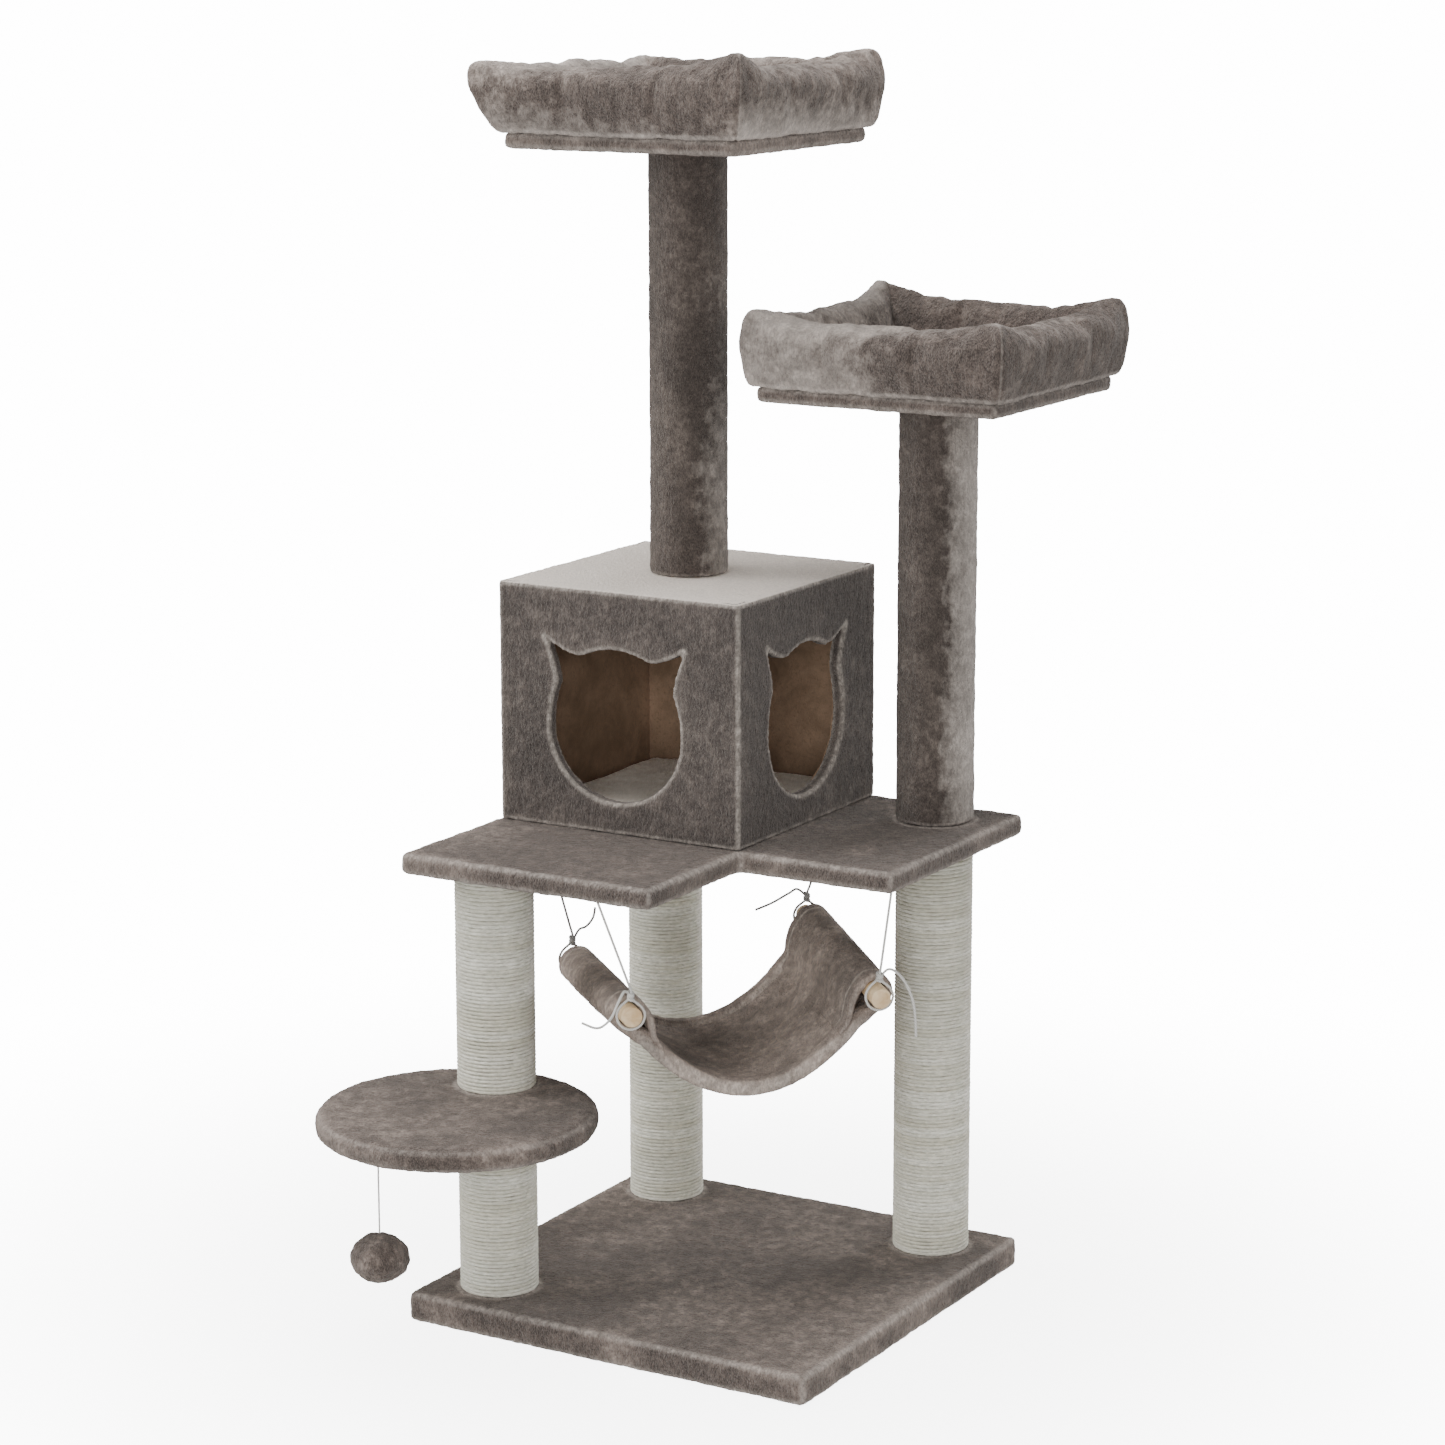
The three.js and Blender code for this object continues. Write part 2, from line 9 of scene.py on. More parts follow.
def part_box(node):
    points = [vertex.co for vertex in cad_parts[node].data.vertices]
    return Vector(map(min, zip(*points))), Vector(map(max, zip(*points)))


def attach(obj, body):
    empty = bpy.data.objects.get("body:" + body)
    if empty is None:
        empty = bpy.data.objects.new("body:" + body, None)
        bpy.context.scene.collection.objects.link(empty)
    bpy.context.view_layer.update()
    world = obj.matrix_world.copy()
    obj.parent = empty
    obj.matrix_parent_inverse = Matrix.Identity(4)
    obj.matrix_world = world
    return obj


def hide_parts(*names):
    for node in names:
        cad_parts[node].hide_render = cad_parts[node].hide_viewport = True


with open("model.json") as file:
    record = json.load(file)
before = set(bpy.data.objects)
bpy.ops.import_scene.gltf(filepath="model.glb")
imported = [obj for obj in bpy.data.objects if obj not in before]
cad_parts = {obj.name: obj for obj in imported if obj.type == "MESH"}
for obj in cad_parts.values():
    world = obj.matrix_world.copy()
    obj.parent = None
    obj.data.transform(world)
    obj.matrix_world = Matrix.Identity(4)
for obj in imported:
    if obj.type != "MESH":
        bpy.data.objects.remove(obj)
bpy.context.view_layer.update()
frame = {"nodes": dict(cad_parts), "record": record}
print("frame loaded:", len(frame["nodes"]), "nodes")

# small helpers for working on one piece at a time


def clamped(value):
    return min(1, max(0, value))


def addObject(name, data):
    thing = bpy.data.objects.new(name, data)
    bpy.context.collection.objects.link(thing)
    return thing


def objectMode():
    bpy.ops.object.mode_set(mode="OBJECT")


def deselectAll():
    if bpy.context.mode != "OBJECT":
        objectMode()
    bpy.ops.object.select_all(action="DESELECT")


def activate(piece):
    deselectAll()
    piece.select_set(True)
    bpy.context.view_layer.objects.active = piece


def editMode(piece, action="DESELECT"):
    activate(piece)
    bpy.ops.object.mode_set(mode="EDIT")
    bpy.ops.mesh.select_all(action=action)


def applyPlace(piece):
    activate(piece)
    bpy.ops.object.transform_apply(location=True, rotation=True, scale=True)


def applyModifier(piece, kind, **settings):
    modifier = piece.modifiers.new(kind, kind)
    for key, value in settings.items():
        setattr(modifier, key, value)
    activate(piece)
    bpy.ops.object.modifier_apply(modifier=modifier.name)


def newest(name):
    piece = bpy.context.active_object
    piece.name = name
    piece.data.name = name
    return piece


def addBox(name, low, high):
    low, high = Vector(low), Vector(high)
    deselectAll()
    bpy.ops.mesh.primitive_cube_add(size=1, location=(low + high) / 2)
    piece = newest(name)
    piece.scale = high - low
    applyPlace(piece)
    return piece


def addCylinder(name, radius, depth, place=(0, 0, 0), vertices=96, turn=(0, 0, 0)):
    deselectAll()
    bpy.ops.mesh.primitive_cylinder_add(
        vertices=vertices, radius=radius, depth=depth, location=place, rotation=turn
    )
    piece = newest(name)
    applyPlace(piece)
    return piece


def addRing(name, major, minor, segments, place, turn=(0, 0, 0)):
    deselectAll()
    bpy.ops.mesh.primitive_torus_add(
        major_radius=major, minor_radius=minor, major_segments=segments[0], minor_segments=segments[1],
        location=place, rotation=turn,
    )
    return newest(name)


def bevelEdges(piece, test, width, segments):
    editMode(piece)
    bpy.ops.mesh.select_mode(type="EDGE")
    objectMode()
    mesh = piece.data
    for edge in mesh.edges:
        edge.select = test(*(mesh.vertices[i].co for i in edge.vertices))
    bpy.ops.object.mode_set(mode="EDIT")
    bpy.ops.mesh.bevel(offset=width, segments=segments, profile=0.5, affect="EDGES")
    objectMode()


def turnOutwards():
    # from edit mode
    bpy.ops.mesh.select_all(action="SELECT")
    bpy.ops.mesh.normals_make_consistent(inside=False)
    objectMode()


def closeHoles():
    # from edit mode
    bpy.ops.mesh.select_all(action="DESELECT")
    bpy.ops.mesh.select_non_manifold()
    bpy.ops.mesh.fill_holes(sides=0)
    turnOutwards()


def joined(name, pieces):
    deselectAll()
    for piece in pieces:
        piece.select_set(True)
    bpy.context.view_layer.objects.active = pieces[0]
    bpy.ops.object.join()
    return newest(name)


def copied(piece, name):
    twin = piece.copy()
    twin.data = piece.data.copy()
    twin.name = name
    twin.data.name = name
    bpy.context.collection.objects.link(twin)
    return twin


def smooth(piece):
    activate(piece)
    bpy.ops.object.shade_smooth()


def subdivided(piece):
    applyModifier(piece, "SUBSURF", levels=1, render_levels=1)


def setAttribute(mesh, name, values):
    mesh.attributes.new(name, "FLOAT", "POINT").data.foreach_set("value", values)


def finished(piece, material, *nodes, body="frame", slot="plush"):
    piece.data.materials.clear()
    piece.data.materials.append(material)
    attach(piece, body)
    if nodes:
        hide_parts(*nodes)
    return piece


# camera

cameraSet = {"place": (2.119, -3.586, 1.553), "azimuth": 30.49, "pitch": 12.16, "roll": 0.08, "lens": 97.45}


def placeCamera():
    data = bpy.data.cameras.new("studioCamera")
    data.lens = cameraSet["lens"]
    data.sensor_width = 36
    data.clip_end = 60
    eye = addObject("studioCamera", data)
    eye.location = cameraSet["place"]
    tilt = 90 - cameraSet["pitch"]
    eye.rotation_euler = [math.radians(angle) for angle in (tilt, cameraSet["roll"], cameraSet["azimuth"])]
    bpy.context.scene.camera = eye


placeCamera()
print("camera set")

# node groups shared by the materials


def newGroup(name, inputs):
    # a group takes colours, numbers or a vector, and gives a colour and a height
    tree = bpy.data.node_groups.new(name, "ShaderNodeTree")
    for label, value in inputs.items():
        kind = {3: "Vector", 4: "Color"}[len(value)] if isinstance(value, tuple) else "Float"
        socket = tree.interface.new_socket(label, in_out="INPUT", socket_type="NodeSocket" + kind)
        socket.default_value = value
    for label, kind in (("Color", "Color"), ("Height", "Float")):
        tree.interface.new_socket(label, in_out="OUTPUT", socket_type="NodeSocket" + kind)
    return tree, tree.nodes.new("NodeGroupInput").outputs


def closedGroup(tree, colour, height):
    fill(tree.nodes.new("NodeGroupOutput"), {"Color": colour, "Height": height})
    return tree


def fill(node, values):
    # numbers and colours are set on the sockets, and outputs are linked to them
    for label, value in values.items():
        if isinstance(value, (int, float, tuple)):
            node.inputs[label].default_value = value
        else:
            node.id_data.links.new(value, node.inputs[label])


def noiseNode(vector, scale, detail=3.0, rough=0.55, distortion=0.0):
    node = vector.id_data.nodes.new("ShaderNodeTexNoise")
    fill(node, {
        "Vector": vector, "Scale": scale, "Detail": detail, "Roughness": rough, "Distortion": distortion,
    })
    return node.outputs["Fac"]


def mathNode(operation, a, b, clamp=False):
    tree = (b if isinstance(a, float) else a).id_data
    node = tree.nodes.new("ShaderNodeMath")
    node.operation = operation
    node.use_clamp = clamp
    fill(node, {0: a, 1: b})
    return node.outputs[0]


def plus(a, b, clamp=False):
    return mathNode("ADD", a, b, clamp)


def minus(a, b, clamp=False):
    return mathNode("SUBTRACT", a, b, clamp)


def times(a, b):
    return mathNode("MULTIPLY", a, b)


def mixNode(factor, a, b):
    node = factor.id_data.nodes.new("ShaderNodeMix")
    node.data_type = "RGBA"
    fill(node, {0: factor, 6: a, 7: b})
    return node.outputs[2]


def rangeNode(value, low, high, toLow=0.0, toHigh=1.0):
    node = value.id_data.nodes.new("ShaderNodeMapRange")
    node.interpolation_type = "SMOOTHSTEP"
    fill(node, {"Value": value, "From Min": low, "From Max": high, "To Min": toLow, "To Max": toHigh})
    return node.outputs["Result"]


def spots(vector, scale, detail, rough, low, high, distortion=0.0):
    return rangeNode(noiseNode(vector, scale, detail, rough, distortion), low, high)


def objectVector(tree, scale=(1, 1, 1), turn=0.0):
    source = tree.nodes.new("ShaderNodeTexCoord").outputs["Object"]
    mapping = tree.nodes.new("ShaderNodeMapping")
    fill(mapping, {"Vector": source, "Scale": scale, "Rotation": (0, 0, turn)})
    return mapping.outputs["Vector"]


def attributeNode(tree, name):
    node = tree.nodes.new("ShaderNodeAttribute")
    node.attribute_name = name
    return node.outputs["Fac"]


# scales of the marks on plush, and how strongly each one shows
pileSet = {
    "clump": 62.0, "fleck": 135.0, "tuft": (300, 300, 150), "fibre": (1050, 1050, 420),
    "patchShare": 0.55, "clumpShare": 0.27, "fleckShare": 0.25, "fibreShare": 0.2,
    "crispHighlight": 0.22, "softHighlight": 0.42,
}


def makePileGroup():
    # plush: patches where the pile lies the other way, clumps, single tufts with painted shade between them,
    # a painted highlight along an edge (attribute "edge"), and pale pile where it is brushed flat, with
    # painted sheen and painted top light carried by the same attribute (the second one)
    tree, start = newGroup("plushPile", {
        "Dark": (0.1, 0.09, 0.08, 1), "Mid": (0.2, 0.17, 0.15, 1), "Light": (0.42, 0.37, 0.34, 1),
        "Pale": (0.7, 0.66, 0.62, 1), "Patch Scale": 9.0, "Patch Shift": 0.0,
    })
    vector = objectVector(tree)
    nap = noiseNode(vector, start["Patch Scale"], 3.0, 0.6, 0.35)
    clumps = spots(vector, pileSet["clump"], 4.0, 0.68, 0.36, 0.68)
    flecks = spots(vector, pileSet["fleck"], 3.0, 0.7, 0.38, 0.66)
    tufts = spots(objectVector(tree, pileSet["tuft"]), 1.0, 3.0, 0.65, 0.32, 0.7)
    fibres = spots(objectVector(tree, pileSet["fibre"]), 1.0, 2.0, 0.6, 0.35, 0.7)
    edge = attributeNode(tree, "edge")
    brushedAndLit = attributeNode(tree, "brushedAndLit")
    patches = rangeNode(plus(nap, start["Patch Shift"]), 0.38, 0.64)
    body = times(patches, pileSet["patchShare"])
    body = plus(body, times(clumps, pileSet["clumpShare"]))
    body = plus(body, times(flecks, pileSet["fleckShare"]), True)
    colour = mixNode(body, start["Dark"], start["Mid"])
    speckle = times(clumps, plus(times(flecks, 0.75), 0.35))
    lifted = times(speckle, plus(times(patches, 0.5), 0.12))
    colour = mixNode(lifted, colour, start["Light"])
    # painted highlights on the edges: crisp ones in the pale colour, soft ones in the light colour spreading
    # from them
    crispHighlight = times(rangeNode(edge, 0.72, 0.93), pileSet["crispHighlight"])
    crispHighlight = plus(crispHighlight, times(times(crispHighlight, 1.2), flecks), True)
    wandering = plus(times(edge, 0.75), times(minus(nap, 0.5), 1.5))
    softHighlight = times(rangeNode(wandering, 0.35, 1.0), pileSet["softHighlight"])
    colour = mixNode(softHighlight, colour, start["Light"])
    colour = mixNode(crispHighlight, colour, start["Pale"])
    # pale where the pile is brushed flat, with painted sheen and painted top light from the second attribute,
    # and a little at random
    parted = times(plus(clumps, patches), 0.2)
    brushedAndLitShare = minus(plus(times(brushedAndLit, 1.3), parted), 0.38, True)
    colour = mixNode(brushedAndLitShare, colour, start["Pale"])
    # painted shade in the gaps between tufts, less where the pile is brushed and lit
    gaps = minus(1.0, tufts)
    shade = times(gaps, minus(0.5, times(brushedAndLit, 0.3)))
    colour = mixNode(shade, colour, start["Dark"])
    colour = mixNode(times(fibres, pileSet["fibreShare"]), colour, start["Light"])
    height = plus(times(tufts, 0.8), times(fibres, 0.3))
    return closedGroup(tree, colour, plus(height, times(clumps, 0.7)))


def makeWindingGroup():
    # wound sisal: every turn a little different, twisted strands, loose hairs
    tree, start = newGroup("sisalWinding", {
        "Shade": (0.4, 0.39, 0.31, 1), "Body": (0.78, 0.745, 0.62, 1), "Bleached": (1.0, 0.98, 0.89, 1),
    })
    turns = spots(objectVector(tree, (2.5, 2.5, 95)), 1.0, 2.0, 0.6, 0.3, 0.7)
    broad = spots(objectVector(tree, (1, 1, 2.2)), 7.0, 2.0, 0.5, 0.35, 0.65)
    strands = spots(objectVector(tree, (150, 150, 620)), 1.0, 3.0, 0.6, 0.32, 0.7, 0.6)
    colour = mixNode(times(turns, 0.95), start["Body"], start["Bleached"])
    colour = mixNode(times(broad, 0.3), colour, start["Shade"])
    # painted shade in the grooves between the strands
    shade = times(minus(1.0, strands), 0.6)
    return closedGroup(tree, mixNode(shade, colour, start["Shade"]), strands)


def makeGrainGroup():
    # sawn or pressed wood: long grain, fine pores and darker flecks
    tree, start = newGroup("woodGrain", {
        "Dark": (0.25, 0.13, 0.07, 1), "Light": (0.45, 0.28, 0.16, 1), "Vector": (0, 0, 0), "Flecks": 0.3,
    })
    grain = spots(start["Vector"], 1.0, 4.0, 0.6, 0.3, 0.7, 0.5)
    pores = spots(start["Vector"], 6.0, 3.0, 0.6, 0.35, 0.7)
    flecks = spots(objectVector(tree), 260.0, 2.0, 0.5, 0.56, 0.7)
    colour = mixNode(grain, start["Dark"], start["Light"])
    colour = mixNode(times(pores, 0.2), colour, start["Dark"])
    colour = mixNode(times(flecks, start["Flecks"]), colour, start["Dark"])
    return closedGroup(tree, colour, plus(grain, pores))


def makeBraidGroup():
    # twisted cord: slanting strands, with a little grime
    tree, start = newGroup("braid", {"Shade": (0.3, 0.29, 0.27, 1), "Body": (0.72, 0.7, 0.66, 1)})
    wave = tree.nodes.new("ShaderNodeTexWave")
    wave.bands_direction = "DIAGONAL"
    fill(wave, {"Vector": objectVector(tree), "Scale": 210.0, "Distortion": 1.2, "Detail": 1.0})
    strand = wave.outputs["Fac"]
    grime = spots(objectVector(tree), 60.0, 2.0, 0.5, 0.4, 0.7)
    # darker between the slanting strands: painted shade in the grooves
    colour = mixNode(strand, start["Shade"], start["Body"])
    return closedGroup(tree, mixNode(times(grime, 0.25), colour, start["Shade"]), strand)


pileGroup = makePileGroup()
windingGroup = makeWindingGroup()
grainGroup = makeGrainGroup()
braidGroup = makeBraidGroup()
print("node groups ready")

# materials


def baseMaterial(name, roughness):
    material = bpy.data.materials.new(name)
    material.use_nodes = True
    tree = material.node_tree
    shader = tree.nodes["Principled BSDF"]
    fill(shader, {"Roughness": roughness, "Specular IOR Level": 0.25})
    return material, tree, shader


def addBump(shader, height, strength, distance):
    bump = shader.id_data.nodes.new("ShaderNodeBump")
    fill(bump, {"Height": height, "Strength": strength, "Distance": distance})
    fill(shader, {"Normal": bump.outputs["Normal"]})


def groupMaterial(name, roughness, group, values, strength, distance, sheen=0.0):
    # colour and bump both come from one of the groups
    material, tree, shader = baseMaterial(name, roughness)
    effect = tree.nodes.new("ShaderNodeGroup")
    effect.name = "effect"
    effect.node_tree = group
    for label, value in values.items():
        effect.inputs[label].default_value = (*value, 1) if isinstance(value, tuple) else value
    fill(shader, {"Base Color": effect.outputs["Color"], "Sheen Weight": sheen})
    addBump(shader, effect.outputs["Height"], strength, distance)
    return material


# each plush from its darkest tone, also its painted shade, to its pale pile, also its painted highlights
taupe = ((0.036, 0.028, 0.024), (0.138, 0.106, 0.09), (0.53, 0.43, 0.37), (0.84, 0.76, 0.69))
slate = ((0.032, 0.026, 0.023), (0.082, 0.066, 0.058), (0.25, 0.208, 0.18), (1.0, 0.9, 0.8))
charcoal = ((0.038, 0.03, 0.026), (0.11, 0.087, 0.075), (0.29, 0.24, 0.205), (0.84, 0.76, 0.69))
mouse = ((0.12, 0.092, 0.077), (0.43, 0.335, 0.28), (0.74, 0.62, 0.53), (0.88, 0.8, 0.72))
fleece = {
    "Dark": (0.62, 0.55, 0.46), "Mid": (0.8, 0.73, 0.62), "Light": (0.93, 0.88, 0.79), "Patch Scale": 14.0,
}


def plushMaterial(name, colours, patchScale, patchShift=0.0):
    values = {"Patch Scale": patchScale, "Patch Shift": patchShift}
    values.update(zip(("Dark", "Mid", "Light", "Pale"), colours))
    material = groupMaterial(name, 0.92, pileGroup, values, 1.0, 0.0018, 0.24)
    shader = material.node_tree.nodes["Principled BSDF"]
    fill(shader, {"Sheen Roughness": 0.35, "Sheen Tint": (0.95, 0.88, 0.82, 1)})
    return material


def woodMaterial(name, dark, light, flecks, roughness, scale, turn=0.0):
    values = {"Dark": dark, "Light": light, "Flecks": flecks}
    material = groupMaterial(name, roughness, grainGroup, values, 0.35, 0.0006)
    tree = material.node_tree
    fill(tree.nodes["effect"], {"Vector": objectVector(tree, scale, turn)})
    return material


def cordMaterial(name, shade, body):
    return groupMaterial(name, 0.75, braidGroup, {"Shade": shade, "Body": body}, 0.5, 0.0004)


def steelMaterial():
    material, tree, shader = baseMaterial("zincPlate", 0.35)
    vector = objectVector(tree)
    dull = rangeNode(noiseNode(vector, 160.0, 3.0, 0.6), 0.3, 0.7, 0.28, 0.5)
    tint = mixNode(noiseNode(vector, 60.0), (0.62, 0.62, 0.6, 1), (0.8, 0.8, 0.79, 1))
    fill(shader, {"Base Color": tint, "Roughness": dull, "Metallic": 1.0})
    return material


def liningMaterial():
    material, tree, shader = baseMaterial("nonWovenLining", 0.9)
    vector = objectVector(tree)
    dots = tree.nodes.new("ShaderNodeTexVoronoi")
    fill(dots, {"Vector": vector, "Scale": 420.0})
    mask = rangeNode(dots.outputs["Distance"], 0.15, 0.45)
    colour = mixNode(mask, (0.012, 0.011, 0.011, 1), (0.035, 0.033, 0.032, 1))
    cloudy = times(noiseNode(vector, 30.0), 0.3)
    fill(shader, {"Base Color": mixNode(cloudy, colour, (0.06, 0.055, 0.05, 1))})
    addBump(shader, mask, 0.4, 0.0004)
    return material


plushTaupe = plushMaterial("plushTaupe", taupe, 7.0)
plushSlate = plushMaterial("plushSlate", slate, 8.0, -0.01)
# a darker copy of the taupe plush for the deck, painted shade from the house and perches on it; a lighter
# copy for the step
plushDeck = plushMaterial("plushDeck", taupe, 7.0, -0.1)
plushStep = plushMaterial("plushStep", taupe, 9.0, 0.1)
plushPost = plushMaterial("plushPost", charcoal, 5.0, -0.01)
plushSling = plushMaterial("plushSling", mouse, 9.0)
plushBall = plushMaterial("plushBall", taupe, 26.0)
padFleece = groupMaterial("padFleece", 0.95, pileGroup, fleece, 0.6, 0.0012, 0.25)
sisalCord = groupMaterial("sisalCord", 0.85, windingGroup, {}, 0.7, 0.0006, 0.12)
# one cord in two copies: the darker copy is painted shade on the back cords, the pale one is the cord's own
# colour
shadedCord = cordMaterial("shadedCord", (0.13, 0.125, 0.12), (0.42, 0.41, 0.39))
paleCord = cordMaterial("paleCord", (0.45, 0.44, 0.41), (0.82, 0.8, 0.76))
pressedBoard = woodMaterial("pressedBoard", (0.19, 0.125, 0.08), (0.34, 0.23, 0.155), 0.45, 0.75, (14,) * 3)
tubeCardboard = woodMaterial("tubeCardboard", (0.3, 0.21, 0.13), (0.48, 0.36, 0.25), 0.2, 0.85, (20, 20, 160))
pineDowel = woodMaterial(
    "pineDowel", (0.62, 0.42, 0.22), (0.86, 0.68, 0.44), 0.08, 0.5, (60, 6, 60), -math.pi / 4
)
print("materials ready")

# cords come first: their routes repeat the model's, in metres

hammockSet = {
    "turn": math.pi / 4, "spread": 0.137, "front": -0.170, "back": 0.134, "height": 0.380, "tilt": 0.0165,
    "dowelRadius": 0.011, "dowelBevel": 0.0012, "slingFront": -0.146, "slingBack": 0.108, "slingLow": 0.289,
}
hammockFrame = Matrix.Rotation(hammockSet["turn"], 4, "Z")
cordSet = {
    "radius": 0.0014, "strandOffset": 0.0024, "loopRadius": 0.0148, "loop": (42, 0, -45, -90, -135, 180, 138),
    "knotRise": 0.022, "knot": (0.0029, 0.0016), "knotTurns": ((0.0030, 12), (0.0, -8), (-0.0029, 10)),
    "deckUnderside": 0.508, "topDrop": 0.0015, "straightSteps": 11, "steps": 6,
}
# the back cords take the darker copy: painted shade
cordEnds = {"Back": ("rear_cords", 0.126, shadedCord), "Front": ("front_cords", -0.162, paleCord)}
# where each cord leaves the deck, and the points of its tail, counted from the knot
cordRoutes = {
    ("Back", "Left"): (-0.167, [
        (0.009, 0.004, 0.010), (0.018, 0.006, 0.013), (0.026, 0.007, 0.022), (0.029, 0.008, 0.034),
    ]),
    ("Front", "Left"): (-0.172, [
        (-0.008, -0.008, 0.007), (-0.017, -0.015, -0.004), (-0.026, -0.019, -0.019),
        (-0.040, -0.021, -0.027), (-0.057, -0.021, -0.020),
    ]),
    ("Back", "Right"): (0.168, [
        (-0.009, 0.005, 0.008), (-0.019, 0.007, 0.003), (-0.038, 0.008, -0.007), (-0.058, 0.008, -0.014),
    ]),
    ("Front", "Right"): (0.151, [
        (0.009, -0.006, 0.009), (0.020, -0.010, 0.003), (0.030, -0.013, -0.014),
        (0.036, -0.014, -0.036), (0.038, -0.014, -0.066),
    ]),
}


def tiltAt(x, y):
    along = (y - hammockSet["front"]) / (hammockSet["back"] - hammockSet["front"])
    return hammockSet["tilt"] * (x / hammockSet["spread"]) * along


def cordPoints(x, y, topX, tail):
    axisZ = hammockSet["height"] + tiltAt(x, y)
    knotZ = axisZ + cordSet["knotRise"]
    down = y - cordSet["strandOffset"]
    up = y + cordSet["strandOffset"]
    # the straight part is stepped as finely as the knot, or the curve would overshoot there
    top = Vector((topX, y, cordSet["deckUnderside"] - cordSet["topDrop"]))
    overKnot = Vector((x, down, knotZ + 0.006))
    points = [top.lerp(overKnot, i / cordSet["straightSteps"]) for i in range(cordSet["straightSteps"] + 1)]
    points.append((x, down, knotZ - 0.002))
    radius = cordSet["loopRadius"]
    for i, degrees in enumerate(cordSet["loop"]):
        angle = math.radians(degrees)
        across = down + (up - down) * i / (len(cordSet["loop"]) - 1)
        points.append((x + radius * math.cos(angle), across, axisZ + radius * math.sin(angle)))
    points.append((x, up, knotZ - 0.002))
    points += [(x + dx, up + dy, knotZ + dz) for dx, dy, dz in tail]
    return [hammockFrame @ Vector(point) for point in points], hammockFrame @ Vector((x, y, knotZ))


def throughPoints(points, steps):
    # a smooth line through given points, with even steps between each pair
    line = []
    for i in range(len(points) - 1):
        before = points[max(i - 1, 0)]
        a, b = points[i], points[i + 1]
        after = points[min(i + 2, len(points) - 1)]
        for k in range(steps):
            t = k / steps
            line.append(
                0.5 * (2 * a + (b - before) * t + (2 * before - 5 * a + 4 * b - after) * t**2
                       + (3 * a - before - 3 * b + after) * t**3)
            )
    line.append(points[-1])
    return line


def addCord(name, line, radius):
    curve = bpy.data.curves.new(name, "CURVE")
    curve.dimensions = "3D"
    curve.bevel_depth = radius
    curve.bevel_resolution = 4
    curve.use_fill_caps = True
    spline = curve.splines.new("POLY")
    spline.points.add(len(line) - 1)
    for point, place in zip(spline.points, line):
        point.co = (*place, 1)
    spline.use_smooth = True
    return addObject(name, curve)


def addKnot(name, centre):
    # three tight turns round both strands, each leaning its own way
    turns = []
    major, minor = cordSet["knot"]
    for height, lean in cordSet["knotTurns"]:
        leaning = (math.radians(lean), math.radians(lean * 0.6), hammockSet["turn"])
        turns.append(addRing(name, major, minor, (24, 10), centre + Vector((0, 0, height)), leaning))
        turns[-1].scale = (0.9, 1.35, 1)
        applyPlace(turns[-1])
    knot = joined(name, turns)
    smooth(knot)
    return knot


def makeHammockCord(end, side, topX, tail):
    body, y, material = cordEnds[end]
    x = hammockSet["spread"] * (-1 if side == "Left" else 1)
    name = f"hammockCord{end}{side}"
    points, knotPlace = cordPoints(x, y, topX, tail)
    line = throughPoints(points, cordSet["steps"])
    node = f"hammock_cord_{end.lower()}_{side.lower()}"
    cord = finished(addCord(name, line, cordSet["radius"]), material, node, body=body, slot="cord")
    knot = finished(addKnot(name + "Knot", knotPlace), material, body=body, slot="cord")


for (end, side), (topX, tail) in cordRoutes.items():
    makeHammockCord(end, side, topX, tail)

toySet = {"place": (-0.191, -0.382), "cordRadius": 0.001, "steps": 16}


def makeToyCord():
    low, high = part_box("toy_cord")
    x, y = toySet["place"]
    steps = toySet["steps"]
    line = [Vector((x, y, high.z + (low.z - high.z) * i / steps)) for i in range(steps + 1)]
    cord = addCord("toyString", line, toySet["cordRadius"])
    finished(cord, paleCord, "toy_cord", body="toy", slot="cord")


makeToyCord()
print("cords made")

# plush covers


def cloudTexture(name, size, depth):
    texture = bpy.data.textures.new(name, "CLOUDS")
    texture.noise_scale = size
    texture.noise_depth = depth
    return texture


lumpTexture = cloudTexture("pileLumps", 0.035, 2)
tuftTexture = cloudTexture("pileTufts", 0.008, 3)


def sharpLines(piece):
    # the edges of a piece that is still plain, as pairs of points: a painted highlight runs along them
    editMode(piece)
    bpy.ops.mesh.select_mode(type="EDGE")
    bpy.ops.mesh.edges_select_sharp(sharpness=math.radians(35))
    objectMode()
    mesh = piece.data
    return [[mesh.vertices[i].co.copy() for i in edge.vertices] for edge in mesh.edges if edge.select]


def ringLines(node, z, count=20):
    # where a post meets a board
    low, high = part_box(node)
    radius = (high.x - low.x) / 2
    ring = []
    for i in range(count + 1):
        angle = 2 * math.pi * i / count
        x = (low.x + high.x) / 2 + radius * math.cos(angle)
        ring.append(Vector((x, (low.y + high.y) / 2 + radius * math.sin(angle), z)))
    return list(zip(ring, ring[1:]))


def markPile(piece, lines, reach, brushedAndLit=None):
    mesh = piece.data
    places = numpy.empty(len(mesh.vertices) * 3)
    mesh.vertices.foreach_get("co", places)
    places = places.reshape(-1, 3)
    nearest = numpy.full(len(places), reach)
    for a, b in lines:
        a, along = numpy.array(a), numpy.array(b - a)
        share = numpy.clip((places - a) @ along / max(along @ along, 1e-12), 0, 1)
        away = numpy.linalg.norm(places - a - share[:, None] * along, axis=1)
        nearest = numpy.minimum(nearest, away)
    setAttribute(mesh, "edge", 1 - nearest / reach)
    # the second attribute carries pale brushed pile together with painted light
    if brushedAndLit:
        setAttribute(mesh, "brushedAndLit", [brushedAndLit(vert.co, vert.normal) for vert in mesh.vertices])


def displaced(piece, texture, strength):
    applyModifier(piece, "DISPLACE", texture=texture, texture_coords="LOCAL", strength=strength)


